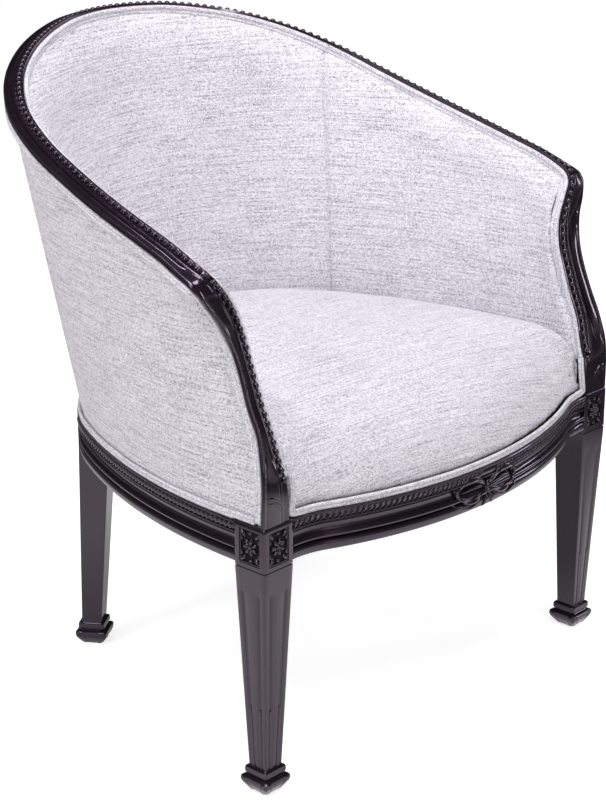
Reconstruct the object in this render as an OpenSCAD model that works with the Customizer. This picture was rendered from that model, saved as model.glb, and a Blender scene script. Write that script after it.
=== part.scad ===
// Tub chair with a show-wood frame: moulded crest, arms and posts, serpentine seat rail,
// tapered and fluted front legs, and tight upholstery on webbing, foam and covers.
// The origin is on the floor under the middle of the chair's box. +Z is up, the front faces
// -Y, and "right" is the +X side, as it is seen from the front. All sizes are in millimetres.

/* [Overall] */
// Depth from the bow of the front rail to the back of the crest
overall_depth = 652; // [620:1:690]
// Height of the top of the crest above the floor
overall_height = 791; // [750:1:830]
// Width across the outer faces of the front leg blocks
front_width = 630; // [600:1:660]
// How far the pearl line of the arms stands out past the leg blocks at its widest
arm_overhang = 8; // [-6:1:20]
// How far the back of the crest stands out behind the back rail
crest_overhang = 71.2; // [60:0.2:82]

/* [Legs] */
// Side of the square block at the top of a front leg
block_w = 45; // [41:0.5:49]
// Height of that block
block_h = 54; // [50:0.5:58]
// Height of the block's lower edge above the floor
block_bottom_z = 275.5; // [255:0.5:300]
// Side of a leg just above its foot
leg_tip_w = 26; // [22:0.5:30]
// Height of a foot with its collar
foot_h = 30; // [26:0.5:36]
// Width of a foot at its roll
foot_w = 42; // [38:0.5:46]
// Radius of a leg flute
flute_r = 2.6; // [2:0.1:3]
// Spacing of the two flutes of a face at the block
flute_pitch = 15; // [13:0.5:18]
// Depth of the sunk panel in a block
panel_depth = 2.5; // [1.5:0.1:4]
// Side of a rear leg under the seat rail
rear_leg_w = 39; // [35:0.5:42]
// Distance between the rear legs' centres as a share of the front width
rear_leg_share = 0.5206; // [0.5:0.0002:0.54]
// Backward rake of a rear leg from the seat rail to the foot
rear_leg_rake = 13; // [0:0.5:20]
// Turn of a rear leg's faces about its own axis, in degrees
rear_leg_turn = 33; // [28:0.5:38]

/* [Seat rails] */
// Height of the seat rails
rail_h = 48.4; // [45:0.2:51]
// Thickness of the seat rails
rail_t = 24; // [21:0.5:27]
// How far the rail tops lie under the block tops
rail_drop = 1.6; // [0.5:0.1:3]
// Forward bow of the serpentine front rail
rail_bow = 57; // [35:1:64]
// Straight stretch of the front rail beside each block
rail_end = 4; // [2:0.5:10]
// Share of the serpentine's run that is the forward bow; the rest is the cove beside the block
bow_share = 0.84; // [0.8:0.01:0.88]
// Radius of the back rail in plan as a share of half the front width
back_round_share = 0.8353; // [0.8:0.0001:0.87]
// Depth of the hollow in the rail moulding
rail_hollow = 4.6; // [3.5:0.1:5.5]
// Radius of the reed in the rail moulding
rail_reed_r = 3; // [2.5:0.1:3.4]

/* [Arms and crest] */
// Radius of the pearl moulding
pearl_r = 3.8; // [3.2:0.1:4.4]
// Distance from the pearl line to the inner face of the rail
rail_lip = 4.7; // [4.5:0.1:6]
// Depth of the rail behind the pearl line
rail_body = 23; // [20:0.5:25]
// Width from the pearl line to the outer ridge of an arm
arm_face = 18; // [16:0.5:20]
// Radius of the reeds beside the hollow
arm_reed_r = 2; // [1.6:0.1:2.3]
// Depth of the hollow between the reeds
arm_hollow = 2.6; // [1.5:0.1:3.2]
// Depth of the outer edge behind the outer ridge
arm_edge = 4.4; // [3:0.1:6]

/* [Upholstery] */
// Thickness of the cover cloth with its wadding
cover_t = 2.5; // [2:0.1:3]
// Thickness of the inside padding beside the seat
pad_t = 26; // [22:0.5:29]
// Thickness of the inside padding at the top edge
pad_edge_t = 3.5; // [2.5:0.1:5]
// Thickness of the lining behind the padding
lining_t = 1; // [0.8:0.1:1.4]
// Thickness of the tub wall beside the seat
wall_t = 50; // [47:0.5:54]
// Height of the line where the seat meets the inside covers
seat_line_z = 405; // [395:1:415]
// Height of the crown of the seat
seat_crown_z = 440; // [428:1:452]
// Width of a strap of seat webbing
strap_w = 50; // [44:1:56]
// Thickness of the webbing
strap_t = 1.5; // [1.2:0.1:1.8]
// Radius of one cord of the double welt
welt_r = 2.2; // [2:0.1:2.5]

/* [Hidden] */

black = [0.10, 0.09, 0.11];
cloth = [0.80, 0.79, 0.82];
foam_colour = [0.93, 0.88, 0.70];
beech = [0.78, 0.62, 0.42];
jute = [0.70, 0.60, 0.42];
steel = [0.70, 0.71, 0.73];
cambric = [0.12, 0.12, 0.12];

// Fitting gap between pieces that are laid together
gap = 0.3;
// Overrun of a cut past the face that it opens
over = 1;
// Facets of a true circle
round_fn = 48;
rail_fn = 192;

// Front of the bowed rail, faces of the front blocks and the main heights
band_proud = 1.8;
front_y = -overall_depth / 2;
block_y = front_y + rail_bow + band_proud;
block_top_z = block_bottom_z + block_h;
block_x = front_width / 2 - block_w / 2;
block_inner_x = front_width / 2 - block_w;
arm_half_span = front_width / 2 + arm_overhang;
rear_leg_x = rear_leg_share * front_width / 2;
rail_plan_depth = overall_depth / 2 - crest_overhang - block_y;
rail_top_z = block_top_z - rail_drop;
rail_bottom_z = rail_top_z - rail_h;

// Plan of the side and back rails: a side arc and a back arc that meet on one tangent
plan_a = front_width / 2;
plan_y = block_y + block_w;
plan_b = rail_plan_depth - block_w;
back_radius = back_round_share * plan_a;
side_radius = (plan_a * plan_a + plan_b * plan_b - 2 * plan_b * back_radius)
    / (2 * (plan_a - back_radius));
side_cx = plan_a - side_radius;
back_cy = plan_y + plan_b - back_radius;
side_arc = atan2(plan_b - back_radius, side_radius - plan_a);
side_len = side_radius * side_arc * PI / 180;
back_len = back_radius * (90 - side_arc) * PI / 180;
plan_len = side_len + back_len;

// Serpentine front rail: a wide bow between two small coves, each tangent to the bow
bow_half = block_inner_x - rail_end;
bow_angle = 2 * atan(rail_bow / bow_half);
bow_radius = bow_share * bow_half / sin(bow_angle);
cove_radius = (1 - bow_share) * bow_half / sin(bow_angle);
bow_cy = block_y - rail_bow + bow_radius;

// Rear legs: an outer corner of each stands just proud of the back rail, and the angle of the
// leg's centre bounds the back rail's arc
rear_leg_proud = 1.5;
rear_corner = rear_leg_w / sqrt(2);
rear_corner_x = rear_leg_x + rear_corner * cos(45 - rear_leg_turn);
rear_leg_y = back_cy + sqrt(pow(back_radius + rear_leg_proud, 2) - rear_corner_x * rear_corner_x)
    - rear_corner * sin(45 - rear_leg_turn);
rear_angle = atan2(rear_leg_y - back_cy, rear_leg_x);

// Guide of the show-wood rail, from the foot of a post over the knuckle to the middle of the
// crest. Each row gives the pearl line: its place across (on the post as a share of the way
// from the block's inner face to the widest span, behind it as a share of that span), then as
// shares of the crest's depth and height. The last two are the outer ridge beside the pearl
// line: how far out, and how far forward on the post or up on the arm, in arm faces.
post_rows = 12;
guide_shares = [
    [0.147, 0.003, 0.000, 2.05, 0.03],
    [0.165, 0.006, 0.083, 1.95, 0.15],
    [0.189, 0.020, 0.139, 1.82, 0.47],
    [0.244, 0.037, 0.210, 1.45, 0.53],
    [0.262, 0.059, 0.275, 1.38, 0.45],
    [0.269, 0.081, 0.350, 1.30, 0.43],
    [0.293, 0.096, 0.410, 1.38, 0.40],
    [0.409, 0.105, 0.470, 1.55, 0.22],
    [0.622, 0.108, 0.521, 1.70, 0.00],
    [0.841, 0.114, 0.562, 1.55, -0.22],
    [0.963, 0.132, 0.589, 1.25, -0.38],
    [1.000, 0.166, 0.609, 1.07, -0.43],
    [0.996, 0.215, 0.633, 1.00, -0.43],
    [0.987, 0.279, 0.657, 1.00, -0.43],
    [0.972, 0.387, 0.697, 1.00, -0.43],
    [0.947, 0.497, 0.740, 1.00, -0.43],
    [0.912, 0.612, 0.789, 1.00, -0.43],
    [0.859, 0.710, 0.840, 1.00, -0.40],
    [0.786, 0.779, 0.881, 1.00, -0.38],
    [0.690, 0.839, 0.918, 1.00, -0.35],
    [0.564, 0.891, 0.951, 1.00, -0.30],
    [0.425, 0.934, 0.975, 1.00, -0.28],
    [0.275, 0.969, 0.992, 1.00, -0.28],
    [0.140, 0.992, 0.998, 1.00, -0.28],
    [0.000, 1.000, 1.000, 1.00, -0.28]
];

guide_last = len(guide_shares) - 1;
crest_depth = overall_depth / 2 - block_y - arm_face * guide_shares[guide_last][3];
pearl_rise = overall_height - pearl_r - block_top_z;
guide_points = [for (i = [0 : guide_last]) let (s = guide_shares[i]) [
    i < post_rows ? block_inner_x + s[0] * (arm_half_span - block_inner_x) : s[0] * arm_half_span,
    block_y + s[1] * crest_depth,
    block_top_z + s[2] * pearl_rise,
    s[3] * arm_face,
    s[4] * arm_face
]];

// Stations of the three lengths of show-wood rail along the guide
post_stations = [0, 0.5, 1, 1.4, 1.8, 2.3, 3, 3.8, 4.6, 5.4, 6.2, 7, 7.5, 8, 8.5, 9, 9.5, 10];
arm_stations = [10, 10.5, 11, 11.5, 12, 12.6, 13.3, 14, 14.7, 15.4, 16, 16.5, 17];
crest_stations = [17, 17.5, 18, 18.5, 19, 19.5, 20, 20.5, 21, 21.5, 22, 22.7, 23.3, 24];
// Where the mouldings, the edge and the rebate fade out into the plain foot of the post, and
// where the outside covers come forward from behind the foot into the rebate
relief_fade = [[1.3, 0], [2.3, 1], [7, 1], [8.6, 0], [9.8, 0], [11.2, 1]];
pearl_fade = [[1.2, 0], [1.9, 1]];
edge_fade = [[0, 0], [2, 1]];
rebate_fade = [[0, 0], [0.67, 1]];
cover_reach = [[0.5, 0], [1, 1]];

// Upholstery: insets from the faces that it meets, and the heights of its lower edges
cover_inset = 2 * welt_r + 1.6;
wall_bottom_z = rail_top_z + 2 * strap_t + gap;
welt_drop = pearl_r / 2 + 4 * welt_r + 3 * gap;
wood_clear = cover_t + pad_edge_t + lining_t + 9 * gap;
welt_start = 1.25;
// Rebate behind the outer ridge of the show-wood, into which the outside covers are tacked
rebate = cover_inset + cover_t + 14 * gap;

function unit(v) = v / norm(v);
function total(v) = len(v) == 0 ? 0 : v * [for (x = v) 1];
function blend(a, b, t) = a + (b - a) * t;
function clamp(x) = max(0, min(1, x));
function smooth(x) = let (c = clamp(x)) c * c * (3 - 2 * c);
function flat(list) = [for (a = list) for (b = a) b];

// A smooth curve through the guide rows, mirrored past the middle of the crest
function mirrored(g) = [-g[0], g[1], g[2], g[3], g[4]];
function guide_row(i) = i < 0 ? 2 * guide_points[0] - guide_points[-i]
    : i > guide_last ? mirrored(guide_points[2 * guide_last - i]) : guide_points[i];
function spline(a, b, c, d, t) = (2 * b + (c - a) * t + (2 * a - 5 * b + 4 * c - d) * t * t
    + (3 * b - a - 3 * c + d) * t * t * t) / 2;
function guide(t) = let (i = min(floor(t), guide_last - 1))
    spline(guide_row(i - 1), guide_row(i), guide_row(i + 1), guide_row(i + 2), t - i);
function xyz(g) = [g[0], g[1], g[2]];
function guide_tangent(t) = t <= 0 ? [0, 0, 1] : t >= guide_last ? [-1, 0, 0]
    : unit(xyz(guide(t + 0.02)) - xyz(guide(t - 0.02)));
// Outward normal: straight sideways on the post, square to the plan behind the knuckle
function guide_out(t) = let (v = guide_tangent(t), w = smooth((t - 9.3) / 1.6))
    w == 0 ? [1, 0, 0] : unit((1 - w) * [1, 0, 0] + w * unit([v[1], -v[0], 0]));
function guide_up(t) = unit(cross(guide_out(t), guide_tangent(t)));
function at_guide(t, a, b) = xyz(guide(t)) + a * guide_out(t) + b * guide_up(t);

// Section of the show-wood rail: pearl moulding, reed, hollow, outer reed, edge and rebate
function rail_ring(t) = let (
        g = guide(t), wide = norm([g[3], g[4]]), f = [g[3], g[4]] / wide, h = [-f[1], f[0]],
        k = lookup(t, relief_fade), q = lookup(t, pearl_fade), e = lookup(t, edge_fade),
        s = lookup(t, rebate_fade),
        r = arm_reed_r, c = pearl_r * 1.3 + r, dip = 0.15 * r * k,
        d = [for (a = [155, 110, 70, 25]) [pearl_r * cos(a), q * pearl_r * sin(a)]],
        w = wide - 3 * r - c,
        face = concat(d, [
            [pearl_r * 1.2, -0.3 * pearl_r * q], [c - r, -dip], [c - 0.5 * r, 0.9 * r * k],
            [c + 0.5 * r, 0.9 * r * k], [c + r, -dip], [c + r + 0.3 * w, -arm_hollow * k],
            [c + r + 0.7 * w, -arm_hollow * k], [wide - 2 * r, -dip],
            [wide - 1.4 * r, 0.8 * r * k], [wide - 0.6 * r, 0.8 * r * k], [wide, 0]]),
        section = concat(
            [[-rail_lip, -rail_body], [-rail_lip, -rail_lip / 2]],
            [for (p = face) p[0] * f + p[1] * h],
            [[g[3] - 0.12 * arm_edge * e, g[4] - arm_edge],
             [g[3] - rebate * s, g[4] - arm_edge - gap], [g[3] - rebate * s, -rail_body]])
    ) [for (p = section) at_guide(t, p[0], p[1])];

// Plan of the rails at a distance d behind the blocks along the outer face, set in by an inset
function plan_angle(d) = d / side_radius * 180 / PI;
function plan_normal(d) = d <= 0 ? [1, 0]
    : d < side_len ? [cos(plan_angle(d)), sin(plan_angle(d))]
    : let (a = side_arc + (d - side_len) / back_radius * 180 / PI) [cos(a), sin(a)];
function plan_point(d, inset) = let (n = plan_normal(d))
    d <= 0 ? [plan_a - inset, plan_y + d]
    : d < side_len ? [side_cx, plan_y] + (side_radius - inset) * n
    : [0, back_cy] + (back_radius - inset) * n;

// Solids from points: a loft through rings, and a slab between two grids of one size
function volume(pts, faces) = total([for (f = faces) cross(pts[f[0]], pts[f[1]]) * pts[f[2]]]);
function outward(pts, faces) = volume(pts, faces) < 0 ? faces : [for (f = faces) [f[2], f[1], f[0]]];
module solid(pts, faces) {
    polyhedron(pts, outward(pts, faces), convexity = 8);
}
module loft(rings) {
    n = len(rings[0]);
    m = len(rings);
    solid(flat(rings), concat(
        [for (i = [0 : m - 2]) for (j = [0 : n - 1]) [i * n + j, i * n + (j + 1) % n, (i + 1) * n + j]],
        [for (i = [0 : m - 2]) for (j = [0 : n - 1])
            [i * n + (j + 1) % n, (i + 1) * n + (j + 1) % n, (i + 1) * n + j]],
        [for (j = [1 : n - 2]) [0, j + 1, j]],
        [for (j = [1 : n - 2]) [(m - 1) * n, (m - 1) * n + j, (m - 1) * n + j + 1]]
    ));
}
// The quads of a slab are split along one diagonal, and past its middle along the other, so
// that a slab that runs right round has the same facets on both sides
function quad(p, q, r, s, turned) = turned ? [[p, q, s], [p, s, r]] : [[p, q, r], [q, s, r]];
module slab(front, back, middle = -1) {
    m = len(front);
    turn = middle < 0 ? m : middle;
    n = len(front[0]);
    k = m * n;
    solid(concat(flat(front), flat(back)), concat(
        [for (i = [0 : m - 2]) for (j = [0 : n - 2]) let (p = i * n + j)
            for (f = quad(p, p + 1, p + n, p + n + 1, i >= turn)) f],
        [for (i = [0 : m - 2]) for (j = [0 : n - 2]) let (p = k + i * n + j)
            for (f = quad(p, p + 1, p + n, p + n + 1, i >= turn)) [f[2], f[1], f[0]]],
        [for (i = [0 : m - 2]) let (p = i * n, q = p + n) for (f = [[p, q, k + q], [p, k + q, k + p]]) f],
        [for (i = [0 : m - 2]) let (p = i * n + n - 1, q = p + n)
            for (f = [[p, k + q, q], [p, k + p, k + q]]) f],
        [for (j = [0 : n - 2]) let (p = j, q = j + 1) for (f = [[p, k + q, q], [p, k + p, k + q]]) f],
        [for (j = [0 : n - 2]) let (p = (m - 1) * n + j, q = p + 1)
            for (f = [[p, q, k + q], [p, k + q, k + p]]) f]
    ));
}
module round_slab(front, back) {
    slab(full_round(front), full_round(back), len(front) - 1);
}
module both_sides() {
    children();
    mirror([1, 0, 0]) children();
}

// Section of the seat rails, from the lower inner corner round the moulded face to the top
reed_shares = [-0.1, 0.384];
rail_section = concat(
    [[-rail_t, 0], [-0.17 * rail_t, 0], [-0.06 * rail_t, 0.017 * rail_h], [0, 0.062 * rail_h],
     [0.017 * rail_t, 0.145 * rail_h], [0, 0.238 * rail_h], [-0.042 * rail_t, 0.269 * rail_h],
     [-rail_hollow, 0.289 * rail_h], [-rail_hollow, 0.318 * rail_h]],
    [for (a = [-55, -20, 20, 60]) [reed_shares[0] * rail_t + rail_reed_r * cos(a),
        reed_shares[1] * rail_h + rail_reed_r * sin(a)]],
    [[-0.78 * rail_hollow, 0.486 * rail_h], [-rail_hollow, 0.558 * rail_h],
     [-0.91 * rail_hollow, 0.64 * rail_h], [-0.48 * rail_hollow, 0.713 * rail_h],
     [0, 0.752 * rail_h], [band_proud / 2, 0.756 * rail_h], [band_proud / 2, 0.785 * rail_h],
     [-band_proud / 3, 0.791 * rail_h], [0.67 * band_proud, 0.806 * rail_h],
     [band_proud, 0.868 * rail_h], [0.89 * band_proud, 0.93 * rail_h],
     [0.33 * band_proud, 0.983 * rail_h], [-0.5 * band_proud, rail_h], [-rail_t, rail_h]]
);
module rail_arc(centre, radius, from, to) {
    translate([centre[0], centre[1], rail_bottom_z])
        rotate([0, 0, from])
            rotate_extrude(angle = to - from, $fn = rail_fn)
                polygon([for (p = rail_section) [radius + p[0], p[1]]]);
}
// The section stood up at a point of the plan, with its outward normal
function rail_ring_at(point, normal) = [for (p = rail_section)
    [point[0] + p[0] * normal[0], point[1] + p[0] * normal[1], rail_bottom_z + p[1]]];

// Axes of the rear leg on the right, and places on its side faces
rear_centre = [rear_leg_x, rear_leg_y];
rear_x = [cos(rear_leg_turn), -sin(rear_leg_turn)];
rear_y = [sin(rear_leg_turn), cos(rear_leg_turn)];
function rear_face_y(x, r) = let (c = rear_centre - [0, back_cy] + x * rear_x, k = c * rear_y)
    sqrt(k * k - c * c + r * r) - k;
module at_rear_leg() {
    translate([rear_leg_x, rear_leg_y, 0])
        rotate([0, 0, -rear_leg_turn])
            children();
}

// Dowels: two across each joint of the back rail, and one up into the foot of each post
dowel_r = 4;
dowel_len = 30;
dowel_shares = [0.28, 0.72];
module rear_joint() {
    x = -rear_leg_w / 2;
    for (s = dowel_shares)
        at_rear_leg()
            translate([x, rear_face_y(x, back_radius - rail_t / 2), rail_bottom_z + s * rail_h])
                rotate([0, 90, 0])
                    children();
}
module dowel_hole() {
    cylinder(r = dowel_r + gap / 2, h = dowel_len + 2 * gap, center = true, $fn = round_fn);
}
post_dowel_r = 5;
post_dowel_len = 36;
module post_dowel_place() {
    translate([block_x, block_y + rail_body / 2 + gap, block_top_z])
        children();
}

// Corner blocks: a triangle behind each front leg and a wedge beside each rear leg
corner_leg = block_w;
corner_shares = [0.12, 0.88];
screw_r = 2;
screw_len = 34;
screw_head_r = 4;
screw_shares = [0.36, 0.64];
corner_z = rail_bottom_z + corner_shares[0] * rail_h;
corner_h = (corner_shares[1] - corner_shares[0]) * rail_h;
corner_a = [block_inner_x - corner_leg, block_y + rail_t];
corner_b = [plan_a - rail_t, plan_y + corner_leg];
screw_point = (corner_a + corner_b) / 2;
module corner_screw_places() {
    for (s = screw_shares)
        translate([screw_point[0], screw_point[1], rail_bottom_z + s * rail_h])
            rotate([0, 0, -45])
                rotate([0, 90, 0])
                    children();
}

// Front legs: a square block with sunk panels, a tapered and fluted shaft and a turned foot
shaft_h = block_bottom_z - foot_h;
flute_top_share = 0.915;
module trapezoid(w0, w1, h, shift) {
    rotate([90, 0, 0])
        linear_extrude(2 * w1, center = true)
            polygon([[shift - w0 / 2, 0], [shift + w0 / 2, 0], [w1 / 2, h], [-w1 / 2, h]]);
}
module shaft(w0, w1, h, shift) {
    intersection() {
        trapezoid(w0, w1, h, shift[0]);
        rotate([0, 0, 90])
            trapezoid(w0, w1, h, shift[1]);
    }
}
rod_steps = 4;
module rod(a, b, r) {
    d = b - a;
    translate(a)
        rotate([0, acos(d[2] / norm(d)), atan2(d[1], d[0])])
            rotate_extrude($fn = round_fn)
                polygon(concat([[0, 0], [r, 0]], [for (i = [0 : rod_steps])
                    let (t = 90 * i / rod_steps) [i == rod_steps ? 0 : r * cos(t), norm(d) + r * sin(t)]]));
}
function face_half(z) = (leg_tip_w + (block_w - leg_tip_w) * (z - foot_h) / shaft_h) / 2;
function flute_point(s, z, sink) = [s * flute_pitch * face_half(z) / block_w, sink - face_half(z), z];
module leg_flutes() {
    for (s = [-1, 1])
        rod(flute_point(s, foot_h - over, 0), flute_point(s, foot_h + flute_top_share * shaft_h, 0), flute_r);
}
// Sunk panel with a raised roundel in the face of a block
panel_shares = [0.69, 0.76];
module block_panel() {
    w = panel_shares[0] * block_w;
    h = panel_shares[1] * block_h;
    z = block_bottom_z + 0.51 * block_h;
    difference() {
        translate([-w / 2, -block_w / 2 - over, z - h / 2])
            cube([w, panel_depth + over, h]);
        translate([0, panel_depth - block_w / 2 + over, z])
            rotate([90, 0, 0])
                rotate_extrude($fn = round_fn)
                    polygon([[0, 0], [0.36 * w, 0], [0.36 * w, over], [0.3 * w, over + 0.6 * panel_depth],
                        [0.2 * w, over + 0.3 * panel_depth], [0.14 * w, over + 0.35 * panel_depth],
                        [0.1 * w, over + 0.8 * panel_depth], [0, over + 0.9 * panel_depth]]);
    }
}
block_line = 1.2;
module block_scribe() {
    difference() {
        translate([-block_w, -block_w, block_bottom_z + block_line])
            cube([2 * block_w, 2 * block_w, block_line]);
        translate([block_line / 2 - block_w / 2, block_line / 2 - block_w / 2, block_bottom_z])
            cube([block_w - block_line, block_w - block_line, 3 * block_line]);
    }
}
// Foot: collar, neck and roll of square plan over a round bun and a round pad
foot_profile = [[0.4, 0.4], [0.86, 0.42], [0.97, 0.5], [1, 0.58], [0.97, 0.65], [0.86, 0.7],
    [0.7, 0.71], [0.7, 0.74], [0.81, 0.76], [0.81, 0.97], [0.76, 1], [0, 1]];
module foot() {
    half = foot_w / 2;
    side = concat([for (p = foot_profile) [p[0] * half, p[1] * foot_h]],
        [for (i = [len(foot_profile) - 2 : -1 : 0])
            [-foot_profile[i][0] * half, foot_profile[i][1] * foot_h]]);
    intersection() {
        rotate([90, 0, 0])
            linear_extrude(2 * foot_w, center = true)
                polygon(side);
        rotate([90, 0, 90])
            linear_extrude(2 * foot_w, center = true)
                polygon(side);
    }
    intersection() {
        cylinder(r1 = 0.8 * half, r2 = 1.4 * half, h = 0.43 * foot_h, $fn = round_fn);
        translate([-0.94 * half, -0.94 * half, 0])
            cube([1.88 * half, 1.88 * half, 0.43 * foot_h]);
    }
}
module front_leg() {
    translate([block_x, block_y + block_w / 2, 0]) {
        foot();
        difference() {
            union() {
                translate([0, 0, foot_h])
                    shaft(leg_tip_w, block_w, shaft_h, [0, 0]);
                translate([-block_w / 2, -block_w / 2, block_bottom_z])
                    cube([block_w, block_w, block_h]);
            }
            leg_flutes();
            rotate([0, 0, 90])
                leg_flutes();
            block_panel();
            rotate([0, 0, 90])
                block_panel();
            block_scribe();
        }
    }
}
module leg_front() {
    difference() {
        front_leg();
        post_dowel_place()
            cylinder(r = post_dowel_r + gap / 2, h = post_dowel_len + 2 * gap, center = true,
                $fn = round_fn);
        corner_screw_places()
            cylinder(r = screw_r + gap / 2, h = 2 * screw_len, center = true, $fn = round_fn);
    }
}
module front_leg_right() {
    color(black) leg_front();
}
module front_leg_left() {
    color(black) mirror([1, 0, 0]) leg_front();
}

// Rear legs: plain, square, tapered, turned to the curve of the tub and raked back
rear_shaft_h = rail_bottom_z - foot_h;
module leg_rear() {
    shift = [-rear_leg_rake * sin(rear_leg_turn), rear_leg_rake * cos(rear_leg_turn)];
    difference() {
        at_rear_leg() {
            translate([shift[0], shift[1], 0])
                foot();
            translate([0, 0, foot_h])
                shaft(leg_tip_w, rear_leg_w, rear_shaft_h, [shift[0], shift[1]]);
            translate([-rear_leg_w / 2, -rear_leg_w / 2, rail_bottom_z])
                cube([rear_leg_w, rear_leg_w, rail_h]);
        }
        rear_joint()
            dowel_hole();
    }
}
module rear_leg_right() {
    color(black) leg_rear();
}
module rear_leg_left() {
    color(black) mirror([1, 0, 0]) leg_rear();
}

// Serpentine front rail between the blocks: a ring at each place of the bow, the cove and the
// straight end, from the middle to the right, and mirrored to the left
bow_steps = 8;
cove_steps = 5;
front_rings = concat(
    [for (i = [0 : bow_steps]) let (a = -90 + i / bow_steps * bow_angle, n = [cos(a), sin(a)])
        rail_ring_at([0, bow_cy] + bow_radius * n, n)],
    [for (i = [cove_steps - 1 : -1 : 0]) let (a = 90 + i / cove_steps * bow_angle, n = [cos(a), sin(a)])
        rail_ring_at([bow_half, block_y - cove_radius] + cove_radius * n, -n)],
    [rail_ring_at([block_inner_x, block_y], [0, -1])]
);
module front_rail() {
    color(black)
        loft(concat([for (i = [len(front_rings) - 1 : -1 : 1]) front_rings[i]],
            [for (r = front_rings) turned_over(r)]));
}
// Side rails: the side arc and the start of the back arc, up to the rear leg's side face
module past_rear_leg() {
    at_rear_leg()
        translate([-rear_leg_w / 2, -front_width, rail_bottom_z - over])
            cube([2 * front_width, 2 * front_width, rail_h + 2 * over]);
}
side_steps = 9;
rear_steps = 3;
rear_reach = 12;
side_rings = concat(
    [for (i = [0 : side_steps]) let (a = side_arc * i / side_steps, n = [cos(a), sin(a)])
        rail_ring_at([side_cx, plan_y] + side_radius * n, n)],
    [for (i = [1 : rear_steps]) let (a = side_arc + rear_reach * i / rear_steps, n = [cos(a), sin(a)])
        rail_ring_at([0, back_cy] + back_radius * n, n)],
    [[for (p = rail_section) let (q = rear_centre + rear_leg_w / 2 * rear_x
            + rear_face_y(rear_leg_w / 2, back_radius + p[0]) * rear_y)
        [q[0], q[1], rail_bottom_z + p[1]]]]
);
module side_rail_right() {
    color(black) loft(side_rings);
}
module side_rail_left() {
    color(black) mirror([1, 0, 0]) loft(side_rings);
}
module back_rail() {
    color(black)
        difference() {
            rail_arc([0, back_cy], back_radius, rear_angle, 180 - rear_angle);
            both_sides() {
                past_rear_leg();
                rear_joint()
                    dowel_hole();
            }
        }
}

// Show-wood posts, arms and crest
module post_right() {
    difference() {
        loft([for (t = post_stations) rail_ring(t)]);
        post_dowel_place()
            cylinder(r = post_dowel_r + gap / 2, h = post_dowel_len + 2 * gap, center = true,
                $fn = round_fn);
    }
}
module arm_post_right() {
    color(black) post_right();
}
module arm_post_left() {
    color(black) mirror([1, 0, 0]) post_right();
}
module arm_rail_right() {
    color(black) loft([for (t = arm_stations) rail_ring(t)]);
}
module arm_rail_left() {
    color(black) mirror([1, 0, 0]) loft([for (t = arm_stations) rail_ring(t)]);
}
function turned_over(ring) = [for (p = ring) [-p[0], p[1], p[2]]];
module crest_rail() {
    color(black)
        loft(concat([for (t = crest_stations) rail_ring(t)],
            [for (i = [len(crest_stations) - 2 : -1 : 0]) turned_over(rail_ring(crest_stations[i]))]));
}

// Pairing of the places along the show-wood with places along the rails under them
wall_start = 9.4;
wall_seam = 17.6;
wall_front = (guide_points[0][1] + rail_body + gap - plan_y) / side_len;
wall_shares = [[wall_start, wall_front], [11, 0.06], [12, 0.17], [13, 0.27], [14, 0.46],
    [15, 0.645], [16, 0.83], [17, 0.96], [wall_seam, 1], [18, 1.1], [19, 1.27], [20, 1.43],
    [21, 1.58], [22, 1.737], [23, 1.87], [24, 2]];
function wall_distance(t) = let (s = lookup(t, wall_shares))
    s <= 1 ? s * side_len : side_len + (s - 1) * back_len;
rise_table = [for (i = [0 : guide_last]) [guide_points[i][2], i]];
function mix_normal(t, v) = let (n = plan_normal(wall_distance(t)))
    unit(blend([n[0], n[1], 0], guide_out(t), clamp(v)));
function front_pull(t) = 1 - smooth((t - wall_start) / 4);
function lifted(p, z) = [p[0], p[1], max(p[2], z)];

// Inside face of the tub: upright beside the seat, then leaning out to the show-wood.
// v is -1 at the lower edge, 0 at the seat and 1 under the pearl moulding.
lean_power = 1.4;
function inner_top(t) = at_guide(t, -rail_lip - wood_clear, -welt_drop);
function inner_ruled(t, v) = let (
        p = plan_point(wall_distance(t), wall_t), q = inner_top(t), s = pow(clamp(v), lean_power))
    [blend(p[0], q[0], s), blend(p[1], q[1], s), v < 0 ? wall_bottom_z : blend(seat_line_z, q[2], v)];
function inner_front(v) = let (z = inner_ruled(wall_start, v)[2])
    v >= 1 ? inner_top(wall_start)
    : lifted(at_guide(lookup(z, rise_table), -rail_lip - wood_clear, -welt_drop), wall_bottom_z);
function inner_face(t, v) = inner_ruled(t, v)
    + front_pull(t) * (inner_front(v) - inner_ruled(wall_start, v));
function pad_depth(t, v) = pad_edge_t
    + (pad_t - pad_edge_t) * pow(1 - clamp(v), 1.2) * smooth((t - 10.1) / 1.7);
function inner_point(t, v, depth) = inner_face(t, v) + depth * mix_normal(t, v);
inner_rows = [-1, 0, 0.25, 0.5, 0.65, 0.78, 0.9, 1];
arm_columns = [wall_start, 9.9, 10.4, 11, 12, 13, 14, 15, 16, 16.9, wall_seam];
back_columns = [wall_seam, 18.3, 19, 20, 21, 22, 23, 24];
function layer_depth(t, v, k) = k == 0 ? 0 : k == 1 ? cover_t : k == 2 ? cover_t + gap
    : k == 3 ? cover_t + pad_depth(t, v) : k == 4 ? cover_t + pad_depth(t, v) + gap
    : cover_t + pad_depth(t, v) + lining_t;
function inner_grid(columns, k) = [for (t = columns) [for (v = inner_rows)
    inner_point(t, v, layer_depth(t, v, k))]];
function full_round(grid) = concat(grid,
    [for (i = [len(grid) - 2 : -1 : 0]) turned_over(grid[i])]);

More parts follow.
